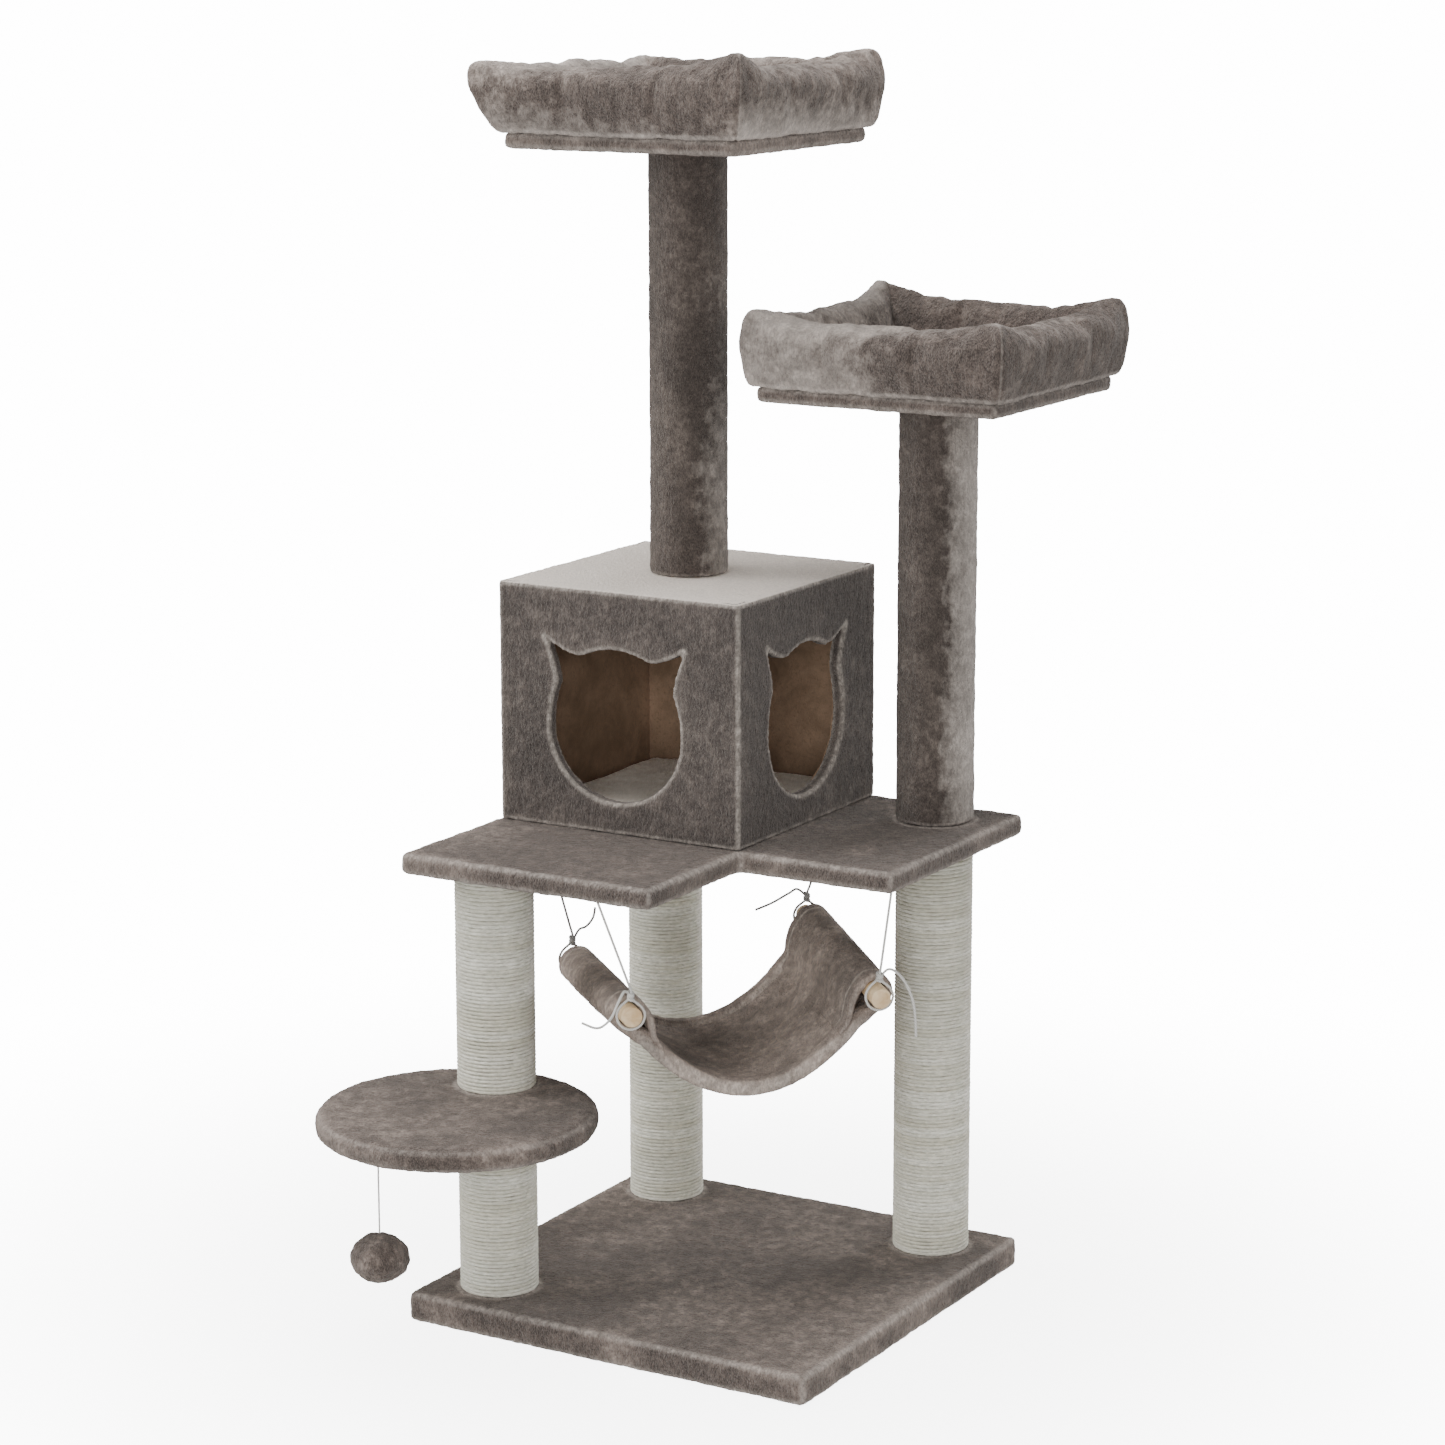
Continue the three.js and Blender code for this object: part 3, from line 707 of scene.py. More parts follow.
def raised(piece, lump, tuft):
    displaced(piece, lumpTexture, lump)
    displaced(piece, tuftTexture, tuft)
    smooth(piece)


def napped(piece, voxel, lump=0.0016, tuft=0.0018):
    # an even skin of small faces, raised and parted like pile
    applyModifier(piece, "REMESH", mode="VOXEL", voxel_size=voxel)
    applyModifier(piece, "SMOOTH", factor=0.5, iterations=1)
    raised(piece, lump, tuft)


def cutAway(piece, *cutters):
    for cutter in cutters:
        applyModifier(piece, "BOOLEAN", operation="DIFFERENCE", object=cutter, solver="EXACT")
        bpy.data.objects.remove(cutter)


def upright(a, b):
    return abs(a.x - b.x) < 1e-5 and abs(a.y - b.y) < 1e-5


def level(a, b):
    return abs(a.z - b.z) < 1e-5


slabSet = {"corner": 0.007, "edge": 0.006, "reach": 0.028, "voxel": 0.0031}


def makeSlab(name, node, rings=(), voxel=slabSet["voxel"], notch=None):
    low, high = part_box(node)
    piece = addBox(name, low, high)
    if notch:
        far = Vector((0.1, 0.1, 0.1))
        start, stop = low - far, high + far
        cutAway(piece, addBox(name + "Cutter", (notch[0], start.y, start.z), (stop.x, notch[1], stop.z)))
    lines = sharpLines(piece)
    for ring in rings:
        lines += ringLines(ring, high.z)
    bevelEdges(piece, upright, slabSet["corner"], 4)
    bevelEdges(piece, level, slabSet["edge"], 3)
    napped(piece, voxel)
    markPile(piece, lines, slabSet["reach"])
    return piece


baseSet = {
    "hem": 0.0455, "recess": 0.0022, "below": 0.004,
    "posts": ("front_left_post_lower_sisal", "back_left_post_sisal", "right_post_sisal"),
}


def makeBase():
    piece = makeSlab("basePlush", "base_plush", baseSet["posts"])
    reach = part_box("base_plush")[1].x - baseSet["hem"]
    # the lining shows below, so the cover's middle sits above it
    for vert in piece.data.vertices:
        place = vert.co
        if place.z < baseSet["below"] and abs(place.x) < reach and abs(place.y) < reach:
            place.z = baseSet["recess"]
        else:
            place.z = max(place.z, 0.0)
    return piece


finished(makeBase(), plushTaupe, "base_plush")

deckSet = {"notch": (0.065, -0.064), "posts": ("lower_perch_post_plush",)}
deck = makeSlab("deckPlush", "deck_plush", deckSet["posts"], notch=deckSet["notch"])
finished(deck, plushDeck, "deck_plush")

stepSet = {"edge": 0.011, "voxel": 0.0028}


def makeStep():
    low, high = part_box("step_plush")
    piece = addCylinder("stepPlush", (high.x - low.x) / 2, high.z - low.z, (low + high) / 2)
    lines = sharpLines(piece) + ringLines("front_left_post_upper_sisal", high.z)
    bevelEdges(piece, level, stepSet["edge"], 4)
    napped(piece, stepSet["voxel"])
    markPile(piece, lines, slabSet["reach"])
    return piece


finished(makeStep(), plushStep, "step_plush")
print("base, deck and step covered")

# house

houseSet = {
    "wall": 0.0153, "lift": 0.0003, "doorShift": -0.004, "voxel": 0.003, "lump": 0.0012, "tuft": 0.0016,
    "reach": 0.022, "corner": 0.009, "cornerPush": 0.004, "roof": 0.006,
}
doorSet = {
    "chin": 0.035, "cheek": (0.0835, 0.113), "neck": (0.0735, 0.163), "earTip": (0.089, 0.212),
    "earFoot": (0.044, 0.194), "cheekPull": (0.083, 0.140), "earPull": (0.076, 0.184),
    "browPull": (0.064, 0.195), "crownPull": (0, 0.216), "steps": 10,
}


def bowed(a, pull, b, steps):
    # points from a towards b on a curve drawn to pull, without b
    points = []
    for i in range(steps):
        t = i / steps
        points.append(tuple((1 - t) ** 2 * p + 2 * t * (1 - t) * q + t**2 * r for p, q, r in zip(a, pull, b)))
    return points


def doorOutline():
    cheek, neck, tip, foot = (doorSet[key] for key in ("cheek", "neck", "earTip", "earFoot"))
    steps = doorSet["steps"]
    right = bowed(cheek, doorSet["cheekPull"], neck, steps)
    right += bowed(neck, doorSet["earPull"], tip, steps)
    right += bowed(tip, doorSet["browPull"], foot, steps)
    crown = bowed(foot, doorSet["crownPull"], (-foot[0], foot[1]), 2 * steps)
    left = [(-x, z) for x, z in reversed(right[1:] + [foot])][1:]
    jaw = []
    for i in range(4 * steps):
        angle = math.pi + math.pi * i / (4 * steps)
        jaw.append((cheek[0] * math.cos(angle), cheek[1] + (cheek[1] - doorSet["chin"]) * math.sin(angle)))
    return right + crown + left + jaw


def addDoorCutter(name, centre, turn):
    # the outline is filled, then extruded right through the wall
    points = doorOutline()
    mesh = bpy.data.meshes.new(name)
    mesh.from_pydata([(x, -0.05, z) for x, z in points], [], [list(range(len(points)))])
    cutter = addObject(name, mesh)
    editMode(cutter, "SELECT")
    bpy.ops.mesh.extrude_region_move(TRANSFORM_OT_translate={"value": (0, 0.1, 0)})
    turnOutwards()
    cutter.rotation_euler = (0, 0, turn)
    cutter.location = centre
    applyPlace(cutter)
    return cutter


def makeHouse():
    low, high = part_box("house_plush")
    deckTop = low.z - houseSet["lift"]
    middle = (low + high) / 2
    wall, shift = houseSet["wall"], houseSet["doorShift"]
    piece = addBox("housePlush", low, high)
    sidesX, sidesY, ceiling = (low.x + wall, high.x - wall), (low.y + wall, high.y - wall), high.z - wall
    cutAway(
        piece,
        addBox("houseHollow", (sidesX[0], sidesY[0], low.z - 0.1), (sidesX[1], sidesY[1], ceiling)),
        addDoorCutter("frontDoorCutter", (middle.x + shift, low.y, deckTop), 0),
        addDoorCutter("rightDoorCutter", (high.x, middle.y + shift, deckTop), math.pi / 2),
    )

    def fromWall(value, sides):
        return min(abs(value - side) for side in sides)

    lines = []
    for a, b in sharpLines(piece):
        # the hollow's own corners get no painted edge highlight
        inCorner = upright(a, b) and fromWall(a.x, sidesX) < 0.001 and fromWall(a.y, sidesY) < 0.001
        if not inCorner and not (level(a, b) and abs(a.z - ceiling) < 0.001):
            lines.append([a, b])
    lines += ringLines("upper_perch_post_plush", high.z)
    napped(piece, houseSet["voxel"], houseSet["lump"], houseSet["tuft"])
    for vert in piece.data.vertices:
        # pushed back behind the panels, which meet there
        if max(fromWall(vert.co.x, sidesX), fromWall(vert.co.y, sidesY)) < houseSet["corner"]:
            vert.co.x += math.copysign(houseSet["cornerPush"], vert.co.x - middle.x)
            vert.co.y += math.copysign(houseSet["cornerPush"], vert.co.y - middle.y)

    # painted top light: the roof's upward faces are made paler
    def paintedTopLight(co, normal):
        return clamped((normal.z - 0.35) * 2.5) if co.z > high.z - houseSet["roof"] else 0

    markPile(piece, lines, houseSet["reach"], paintedTopLight)
    return piece


finished(makeHouse(), plushSlate, "house_plush")
print("house covered")

# upper posts: the pale strip, brushed pile with painted sheen, faces the right and fades in downwards

postSet = {"voxel": 0.003, "lump": 0.0018, "tuft": 0.0016, "reach": 0.02, "paleSide": math.radians(-4)}


def makePlushPost(name, node, paleFrom, paleTo, strength):
    low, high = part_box(node)
    paleSide = Vector((math.cos(postSet["paleSide"]), math.sin(postSet["paleSide"]), 0))

    # paler brushed pile with painted sheen on the side facing the right
    def brushedAndLitShare(co, normal):
        away = (high.z - co.z) / (high.z - low.z)
        along = clamped((away - paleFrom) / (paleTo - paleFrom))
        return strength * along * clamped((normal.dot(paleSide) - 0.5) * 2)

    piece = addCylinder(name, (high.x - low.x) / 2, high.z - low.z, (low + high) / 2)
    lines = sharpLines(piece)
    napped(piece, postSet["voxel"], postSet["lump"], postSet["tuft"])
    markPile(piece, lines, postSet["reach"], brushedAndLitShare)
    finished(piece, plushPost, node)


makePlushPost("upperPostPlush", "upper_perch_post_plush", 0.2, 0.7, 0.4)
makePlushPost("lowerPostPlush", "lower_perch_post_plush", -0.5, 0.2, 0.6)

# sisal posts

sisalSet = {"pitch": 0.0042, "thickness": 0.0043, "steps": 56, "endInset": 0.0002, "hairs": 0.0009}


def makeSisalPost(name, node):
    low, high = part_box(node)
    middle = (low + high) / 2
    thickness, steps = sisalSet["thickness"], sisalSet["steps"]
    radius = (high.x - low.x) / 2 - thickness / 2
    span = high.z - low.z - thickness
    turns = int(span / sisalSet["pitch"])
    deselectAll()
    bpy.ops.mesh.primitive_circle_add(
        vertices=8, radius=thickness / 2, location=(radius, 0, low.z + thickness / 2),
        rotation=(math.pi / 2, 0, 0),
    )
    piece = newest(name)
    applyPlace(piece)
    applyModifier(
        piece, "SCREW", axis="Z", screw_offset=span / turns, iterations=turns, steps=steps,
        render_steps=steps, use_merge_vertices=True, merge_threshold=0.00001, use_normal_calculate=True,
    )
    editMode(piece)
    closeHoles()
    pieces = [piece]
    inset = radius - sisalSet["endInset"]
    for z in (low.z + thickness / 2, high.z - thickness / 2):
        pieces.append(addRing(name + "End", inset, thickness / 2, (steps, 8), (0, 0, z)))
        applyPlace(pieces[-1])
    piece = joined(name, pieces)
    piece.location = (middle.x, middle.y, 0)
    applyPlace(piece)
    displaced(piece, tuftTexture, sisalSet["hairs"])
    smooth(piece)
    finished(piece, sisalCord, node, slot="sisal")


makeSisalPost("frontLeftLowerSisal", "front_left_post_lower_sisal")
makeSisalPost("frontLeftUpperSisal", "front_left_post_upper_sisal")
makeSisalPost("backLeftSisal", "back_left_post_sisal")
makeSisalPost("rightSisal", "right_post_sisal")
print("posts wound")

# carried-over nodes

slotMaterials = {
    "board": pressedBoard, "cardboard": tubeCardboard, "steel": steelMaterial(), "lining": liningMaterial(),
}
for entry in frame["record"]["subparts"]:
    if entry["material_slot"] in slotMaterials:
        mesh = frame["nodes"][entry["node"]].data
        mesh.materials.clear()
        mesh.materials.append(slotMaterials[entry["material_slot"]])
print("hidden parts dressed")

# hammock


def makeDowel(name, side, node):
    length = hammockSet["back"] - hammockSet["front"]
    middleY = (hammockSet["front"] + hammockSet["back"]) / 2
    x = side * hammockSet["spread"]
    piece = addCylinder(name, hammockSet["dowelRadius"], length, vertices=48, turn=(math.pi / 2, 0, 0))

    def atEnd(a, b):
        return abs(a.y - b.y) < 1e-5 and abs(abs(a.y) - length / 2) < 1e-4

    bevelEdges(piece, atEnd, hammockSet["dowelBevel"], 2)
    for vert in piece.data.vertices:
        place = vert.co + Vector((x, middleY, hammockSet["height"]))
        place.z += tiltAt(x, place.y)
        vert.co = hammockFrame @ place
    activate(piece)
    bpy.ops.object.shade_smooth_by_angle(angle=math.radians(35))
    finished(piece, pineDowel, node, body="hammock", slot="dowel")


makeDowel("leftDowel", -1, "left_dowel")
makeDowel("rightDowel", 1, "right_dowel")

slingSet = {
    "across": 76, "along": 84, "round": 16, "lap": 5, "lapReach": 0.016, "bulges": 4, "bulge": 0.0045,
    "meet": 0.034, "pull": math.radians(-52), "power": 2.1, "thickness": 0.017, "cloth": 0.47, "room": 0.0012,
    "hem": 0.0165, "groove": 0.007, "gatherReach": 11, "frames": 24, "cap": 0.014, "pile": 0.0014,
}
slingCloth = {
    "quality": 6, "mass": 0.35, "tension_stiffness": 18, "compression_stiffness": 6, "shear_stiffness": 3,
    "bending_stiffness": 0.6, "shrink_min": -0.02,
}


def slingProfile():
    # starts on the sag, goes up over the left dowel, down the sag and round the right dowel
    spread, axisZ, low = hammockSet["spread"], hammockSet["height"], hammockSet["slingLow"]
    lap, steps, bulges = slingSet["lap"], slingSet["round"], slingSet["bulges"]
    cloth = slingSet["thickness"] * slingSet["cloth"]
    radius = hammockSet["dowelRadius"] + slingSet["room"] + cloth / 2
    pull = slingSet["pull"]
    meetX = -spread + slingSet["meet"] * math.cos(pull)
    meetZ = axisZ + slingSet["meet"] * math.sin(pull)
    upX, upZ = math.cos(pull + math.pi / 2), math.sin(pull + math.pi / 2)

    def sagAt(x):
        return low + (meetZ - 0.003 - low) * (abs(x) / abs(meetX)) ** slingSet["power"]

    def bulging(start, end, side):
        # the sleeve swells between the dowel and the seam
        points = []
        for i in range(1, bulges + 1):
            t = i / (bulges + 1)
            out = side * slingSet["bulge"] * math.sin(math.pi * t)
            x, z = (a + (b - a) * t for a, b in zip(start, end))
            points.append((x + upX * out, z + upZ * out))
        return points

    left = []
    for i in range(lap):
        x = meetX + slingSet["lapReach"] * (1 - i / lap)
        rise = cloth * (0.35 + 0.45 * i / lap)
        left.append((x + upX * rise, sagAt(x) + upZ * rise))
    rolled = []
    for i in range(steps + 1):
        angle = pull + math.pi / 2 + math.pi * i / steps
        rolled.append((-spread + radius * math.cos(angle), axisZ + radius * math.sin(angle)))
    left += bulging(left[-1], rolled[0], 1) + rolled + bulging(rolled[-1], (meetX, sagAt(meetX)), -0.6)
    sag = []
    for i in range(slingSet["across"] + 1):
        x = meetX - 2 * meetX * i / slingSet["across"]
        sag.append((x, sagAt(x)))
    return left + sag + [(-x, z) for x, z in reversed(left)]


def makeSling():
    points = slingProfile()
    last = len(points) - 1
    front, back = hammockSet["slingFront"], hammockSet["slingBack"]
    hem, cloth, lap = slingSet["hem"], slingSet["cloth"], slingSet["lap"]
    fixed = lap + slingSet["round"] + 2 * slingSet["bulges"]
    deselectAll()
    bpy.ops.mesh.primitive_grid_add(x_subdivisions=last, y_subdivisions=slingSet["along"], size=1)
    piece = newest("hammockSling")
    groups = [piece.vertex_groups.new(name=name) for name in ("held", "body", "gathered", "folded")]
    for vert in piece.data.vertices:
        i = round((vert.co.x + 0.5) * last)
        x, z = points[i]
        y = front + (back - front) * (vert.co.y + 0.5)
        fromFixed = min(i - fixed, last - fixed - i)
        fromHem = min(y - front, back - y)
        fromEnd = min(i, last - i)
        # the hem is thick, except on the sleeves, and the cloth is thinner beside it and along the laps
        share = 1.0 if fromHem < hem else cloth
        if fromFixed < 0 and fromHem < hem:
            share = cloth + (1.2 - cloth) * max(0, 0.3 + 0.1 * fromFixed)
        elif fromFixed >= 0 and hem <= fromHem < hem + slingSet["groove"]:
            share = cloth * 0.3
        if fromEnd < lap:
            share *= 0.4 + 0.6 * fromEnd / lap
        inner = min(1, max(0, fromHem - hem) / 0.03)
        gather = max(0, 1 - abs(fromFixed - 1) / slingSet["gatherReach"]) * (0.4 + 0.6 * inner)
        weights = (1.0 if fromFixed <= 1 else 0.0, share, gather, inner if fromFixed > 0 else 0)
        for group, weight in zip(groups, weights):
            group.add([vert.index], weight, "REPLACE")
        vert.co = Vector((x, y, z + tiltAt(x, y)))
    return piece, (sum(math.dist(a, b) for a, b in zip(points, points[1:])), back - front)


def simulate(piece, limits, gravity, cloth):
    # the cloth's last shape is kept, with no vertex moved further than the cap
    scene, frames, cap = bpy.context.scene, limits["frames"], limits["cap"]
    modifier = piece.modifiers.new("Cloth", "CLOTH")
    modifier.settings.vertex_group_mass = "held"
    modifier.settings.effector_weights.gravity = gravity
    for key, value in cloth.items():
        setattr(modifier.settings, key, value)
    modifier.collision_settings.use_collision = False
    scene.frame_start = modifier.point_cache.frame_start = 1
    scene.frame_end = modifier.point_cache.frame_end = frames
    before = [vert.co.copy() for vert in piece.data.vertices]
    for step in range(1, frames + 1):
        scene.frame_set(step)
    activate(piece)
    bpy.ops.object.modifier_apply(modifier="Cloth")
    for vert, start in zip(piece.data.vertices, before):
        moved = vert.co - start
        if moved.length > cap:
            vert.co = start + moved.normalized() * cap
    scene.frame_set(1)


# folds fan out from one corner, and both sleeves are gathered
wrinkleSet = {
    "corner": (0.13, 0.09), "fold": 0.0052, "foldFrom": 0.06, "foldTo": 0.26, "gather": 0.0032,
    "slowGather": 0.0018,
}


def wrinkle(piece):
    gathered, folded = (piece.vertex_groups[name].index for name in ("gathered", "folded"))
    for vert in piece.data.vertices:
        weights = {entry.group: entry.weight for entry in vert.groups}
        x, y, z = vert.co
        acrossCorner, alongCorner = x - wrinkleSet["corner"][0], y - wrinkleSet["corner"][1]
        away = math.hypot(acrossCorner, alongCorner)
        fan = math.atan2(alongCorner, acrossCorner)
        fold = wrinkleSet["fold"] * math.sin(fan * 10 + 12 * away)
        fold = fold * min(1, away / wrinkleSet["foldFrom"]) * max(0, 1 - away / wrinkleSet["foldTo"])
        gather = wrinkleSet["gather"] * math.sin(y * 560 + 1.8 * math.sin(x * 60 + y * 35))
        gather += wrinkleSet["slowGather"] * math.sin(y * 250 + 2.0)
        vert.co += vert.normal * (weights.get(gathered, 0) * gather + weights.get(folded, 0) * fold)


def finishSling(piece):
    front, back, hem = hammockSet["slingFront"], hammockSet["slingBack"], slingSet["hem"]
    wrinkle(piece)
    applyModifier(piece, "SOLIDIFY", thickness=slingSet["thickness"], offset=0.0, vertex_group="body")
    subdivided(piece)
    raised(piece, slingSet["pile"], slingSet["pile"])
    mesh = piece.data
    hems = [min(vert.co.y - front, back - vert.co.y) for vert in mesh.vertices]
    # painted highlights along the stitches and over the hem's edge
    paintedHighlights = [max(1 - abs(away - hem) / 0.011, 0.92 - max(0, away + 0.001) / 0.012, 0) for away in hems]
    setAttribute(mesh, "edge", paintedHighlights)
    mesh.transform(hammockFrame)


sling, slingFlat = makeSling()
simulate(sling, slingSet, 0.5, slingCloth)
finishSling(sling)
finished(sling, plushSling, "hammock_sling", body="hammock")
print("hammock slung")

# perches

perchVoxel = 0.0032
bolsterSet = {
    "innerFoot": 0.098, "outerFoot": 0.1515, "flare": 0.161, "lean": 0.034, "height": 0.076, "peak": 0.004,
    "dip": 0.003, "droop": 0.006, "squareTop": 0.6, "squareFoot": 0.24, "seamGap": -0.0035, "pinch": 0.04,
    "pinchFrom": 0.93, "stations": 64, "around": 36, "frames": 20, "cap": 0.008, "lift": 0.0003,
    "reach": 0.02, "lump": 0.0040, "tuft": 0.0022, "riseFade": 1.7, "reachFade": 1.3, "halfSide": 0.16,
}
fillCloth = {
    "quality": 5, "mass": 0.3, "tension_stiffness": 15, "compression_stiffness": 15, "shear_stiffness": 5,
    "bending_stiffness": 0.5, "use_pressure": True, "uniform_pressure_force": 3.0,
}


def wallPoint(u, angle):
    # a puffed section at a share u of the wall's length, mitred at both ends and drawn in at the seam
    c, s = math.cos(angle), math.sin(angle)
    squareness = bolsterSet["squareTop"] if s > 0 else bolsterSet["squareFoot"]
    v = 0.5 + 0.5 * math.copysign(abs(c) ** squareness, c)
    w = 0.5 + 0.5 * math.copysign(abs(s) ** squareness, s)
    pinchFrom, foot = bolsterSet["pinchFrom"], bolsterSet["outerFoot"]
    drawn = 1 - bolsterSet["pinch"] * (max(0, abs(u) - pinchFrom) / (1 - pinchFrom)) ** 2
    v, w = 0.5 + (v - 0.5) * drawn, 0.5 + (w - 0.5) * drawn
    inner = bolsterSet["innerFoot"] + bolsterSet["lean"] * w
    outer = foot + (bolsterSet["flare"] - foot) * math.sin(min(1, w * 1.6) * math.pi / 2)
    away = inner + (outer - inner) * v
    height = bolsterSet["height"] + bolsterSet["peak"] * abs(u) ** 6 - bolsterSet["dip"] * (1 - u * u)
    droop = bolsterSet["droop"] * max(0, v - 0.75) * 4 * max(0, 1 - 4 * w)
    return Vector((u * (away - bolsterSet["seamGap"]), -away, 0.001 + w * height - droop))


def makeBolster():
    deselectAll()
    bpy.ops.mesh.primitive_grid_add(
        x_subdivisions=bolsterSet["stations"], y_subdivisions=bolsterSet["around"], size=2
    )
    piece = newest("bolster")
    for vert in piece.data.vertices:
        vert.co = wallPoint(vert.co.x, math.pi * vert.co.y)
    editMode(piece, "SELECT")
    bpy.ops.mesh.remove_doubles(threshold=0.00005)
    closeHoles()
    return piece


def inflate(piece, limits, held, slack=0.0):
    group = piece.vertex_groups.new(name="held")
    for vert in piece.data.vertices:
        if held(vert.co):
            group.add([vert.index], 1.0, "REPLACE")
    simulate(piece, limits, 0, {**fillCloth, "shrink_min": -slack})
    subdivided(piece)


bolsterPattern = makeBolster()
inflate(bolsterPattern, bolsterSet, lambda co: abs(abs(co.x) + co.y) < 0.004 or co.z < 0.004, 0.03)
print("one perch wall filled")


def seamLines(steps=24):
    lines = []
    for u in (-1, 1):
        ring = [wallPoint(u, 2 * math.pi * i / steps) for i in range(steps + 1)]
        lines += list(zip(ring, ring[1:]))
    foot = bolsterSet["outerFoot"]
    return lines + [(Vector((-foot, -foot, 0)), Vector((foot, -foot, 0)))]


def settled(wall, near, far):
    # no two corners were stuffed alike: each one's rise and reach fade out along the walls beside it
    def faded(i, share, fade):
        return near[i] * max(0, 1 - share * fade) ** 2 + far[i] * max(0, 1 - (1 - share) * fade) ** 2

    for vert in wall.data.vertices:
        share = 0.5 + 0.5 * vert.co.x / max(abs(vert.co.y), 0.001)
        height = clamped(vert.co.z / bolsterSet["height"])
        vert.co.z += faded(0, share, bolsterSet["riseFade"]) * height
        outward = 1 + faded(1, share, bolsterSet["reachFade"]) * height / bolsterSet["halfSide"]
        vert.co.x *= outward
        vert.co.y *= outward


def palePatch(left, right, foot):
    # pile brushed the other way, towards one end and along the foot, and painted top light on the rim
    def paleness(co, normal):
        along = co.x / 0.15
        height = co.z / bolsterSet["height"]
        pale = left * clamped(0.6 - 0.7 * along) + right * clamped(0.7 * along + 0.6)
        pale += foot * max(0, 1 - 1.9 * height)
        return pale + 0.24 * max(0, height - 0.72) * 3.5 * max(0, normal.z)

    return paleness


def makePerch(label, prefix, corners, sides):
    board = makeSlab(label + "Board", prefix + "_plush", voxel=perchVoxel)
    finished(board, plushTaupe, prefix + "_plush")
    low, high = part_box(prefix + "_plush")
    middle = (low + high) / 2
    place = Matrix.Translation((middle.x, middle.y, high.z + bolsterSet["lift"]))
    for turn, (side, pale) in enumerate(sides.items()):
        wall = copied(bolsterPattern, f"{label}Wall{side.title()}")
        markPile(wall, seamLines(), bolsterSet["reach"], palePatch(*pale))
        settled(wall, corners[turn], corners[(turn + 1) % 4])
        wall.data.transform(place @ Matrix.Rotation(turn * math.pi / 2, 4, "Z"))
        raised(wall, bolsterSet["lump"], bolsterSet["tuft"])
        finished(wall, plushTaupe, f"{prefix}_bolster_{side}")


# rise and reach of the corners, from the front left one round by the front right one, then each side's pale
# pile: at its left end, at its right end and along its foot
makePerch(
    "upperPerch", "upper_perch", [(-0.004, 0.014), (0.010, 0.003), (0.004, -0.003), (-0.010, 0.0)],
    {"front": (0.14, 0, 0.26), "right": (0.12, 0, 0.52), "back": (0.1, 0.1, 0.1), "left": (0.3, 0.3, 0.3)},
)
makePerch(
    "lowerPerch", "lower_perch", [(0.003, -0.005), (0.003, -0.003), (0.003, -0.005), (0.009, 0.0)],
    {"front": (0.42, 0.0, 0.1), "right": (0.1, 0.0, 0.1), "back": (0.0, 0.0, 0.0), "left": (0.25, 0.2, 0.0)},
)
bpy.data.objects.remove(bolsterPattern)
print("perches made")

# pad on the house's floor

padSet = {
    "edge": 0.006, "shrink": 0.002, "voxel": 0.0045, "frames": 16, "cap": 0.006, "pile": (0.0016, 0.0008),
}


def makePad():
    low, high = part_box("house_floor_pad")
    shrink = Vector((padSet["shrink"],) * 3)
    piece = addBox("houseFloorPad", low + shrink * Vector((1, 1, 0)), high - shrink)
    bevelEdges(piece, lambda a, b: True, padSet["edge"], 2)
    applyModifier(piece, "REMESH", mode="VOXEL", voxel_size=padSet["voxel"])
    inflate(piece, padSet, lambda co: co.z < low.z + 0.003)
    raised(piece, *padSet["pile"])
    return piece


pad = finished(makePad(), padFleece, "house_floor_pad", slot="pad")
print("floor pad filled")

# toy ball

ballSet = {"voxel": 0.0013, "lump": 0.0016, "tuft": 0.0034, "shrink": 0.001}


def makeBall():
    low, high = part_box("toy_ball")
    deselectAll()
    bpy.ops.mesh.primitive_ico_sphere_add(subdivisions=4, radius=1, location=(0, 0, 0))
    piece = newest("toyBall")
    piece.scale = (high - low) / 2 - Vector((ballSet["shrink"],) * 3)
    piece.location = (low + high) / 2
    applyPlace(piece)
    napped(piece, ballSet["voxel"], ballSet["lump"], ballSet["tuft"])
    return piece


ball = finished(makeBall(), plushBall, "toy_ball", body="toy")
print("toy ball made")

# studio: each light has its place, the height that it points at, its size and its power

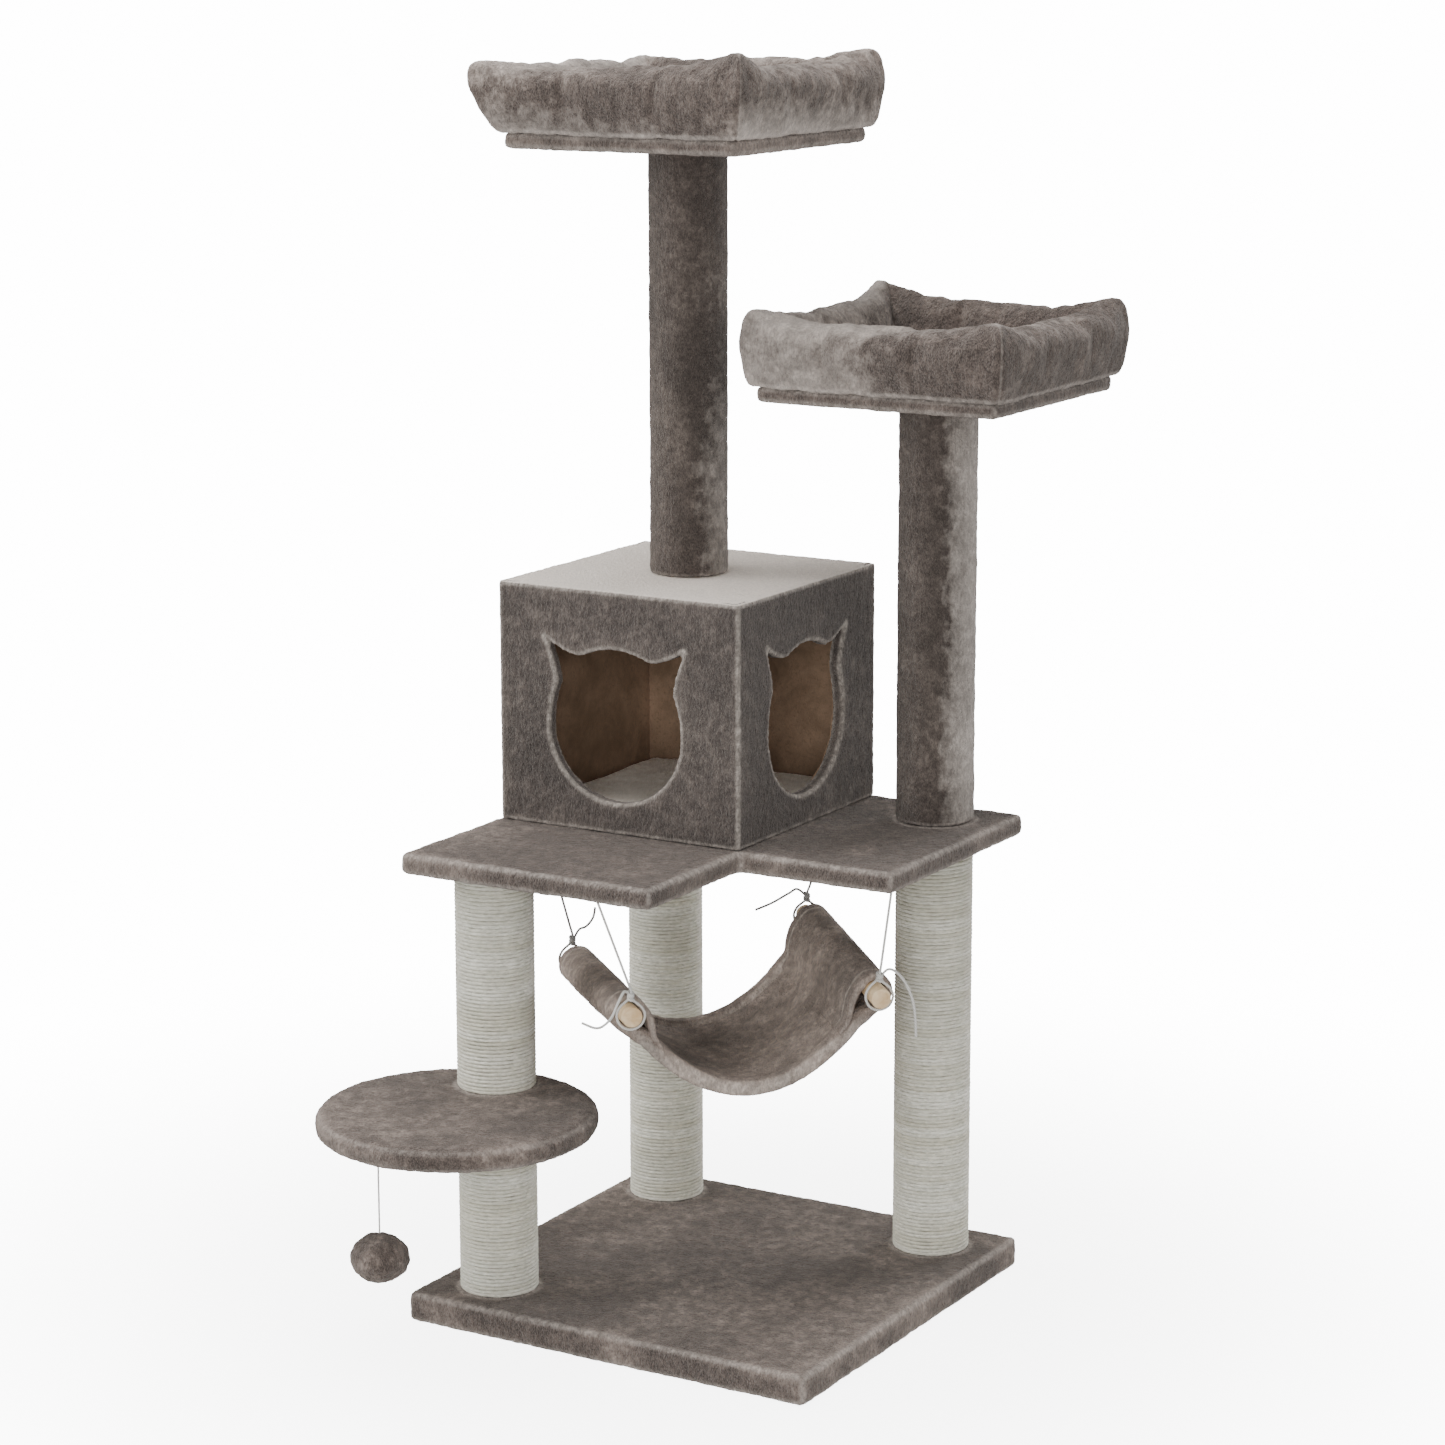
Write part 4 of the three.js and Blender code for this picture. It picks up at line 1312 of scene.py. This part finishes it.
studioSet = {
    "world": 0.62, "backdrop": 15.0, "floorDrop": 0.001, "floorFrom": 0.3, "floorTo": 1.5, "floorShown": 0.6,
    "lights": {
        "topLight": ((-0.3, -0.2, 3.6), 0.5, 2.6, 122),
        "leftLight": ((-3.2, -1.6, 1.9), 0.7, 1.8, 76),
        "frontLight": ((1.6, -3.6, 1.1), 0.6, 2.2, 76),
        "rimLight": ((0.7, 3.6, 1.3), 0.8, 1.6, 80),
    },
}


def makeFloor():
    deselectAll()
    bpy.ops.mesh.primitive_plane_add(size=12, location=(0, 0, -studioSet["floorDrop"]))
    floor = newest("studioFloor")
    applyPlace(floor)
    material, tree, shader = baseMaterial("studioPaper", 0.85)
    vector = objectVector(tree)
    tint = mixNode(noiseNode(vector, 30.0), (0.88, 0.88, 0.88, 1), (0.91, 0.91, 0.91, 1))
    away = tree.nodes.new("ShaderNodeVectorMath")
    away.operation = "LENGTH"
    fill(away, {0: vector})
    fadeFrom, fadeTo, shown = (studioSet[key] for key in ("floorFrom", "floorTo", "floorShown"))
    fade = rangeNode(away.outputs["Value"], fadeFrom, fadeTo, shown, 0.0)
    fill(shader, {"Base Color": tint, "Alpha": fade})
    floor.data.materials.append(material)


def addLight(name, place, aim, size, power):
    data = bpy.data.lights.new(name, "AREA")
    data.shape = "DISK"
    data.size = size
    data.energy = power
    lamp = addObject(name, data)
    lamp.location = place
    lamp.rotation_euler = (Vector((0, 0, aim)) - Vector(place)).to_track_quat("-Z", "Y").to_euler()


def lightStudio():
    # the backdrop behind the floor is brighter than the light that the room gives
    world = bpy.data.worlds.new("paleStudio")
    bpy.context.scene.world = world
    world.use_nodes = True
    tree = world.node_tree
    room = tree.nodes["Background"]
    backdrop = tree.nodes.new("ShaderNodeBackground")
    chooser = tree.nodes.new("ShaderNodeMixShader")
    rays = tree.nodes.new("ShaderNodeLightPath")
    for node, strength in ((room, studioSet["world"]), (backdrop, studioSet["backdrop"])):
        fill(node, {"Color": (1, 1, 1, 1), "Strength": strength})
    fill(chooser, {0: rays.outputs["Is Camera Ray"], 1: room.outputs[0], 2: backdrop.outputs[0]})
    fill(tree.nodes["World Output"], {"Surface": chooser.outputs[0]})
    for name, (place, aim, size, power) in studioSet["lights"].items():
        addLight(name, place, aim, size, power)


makeFloor()
lightStudio()
print("studio lit")
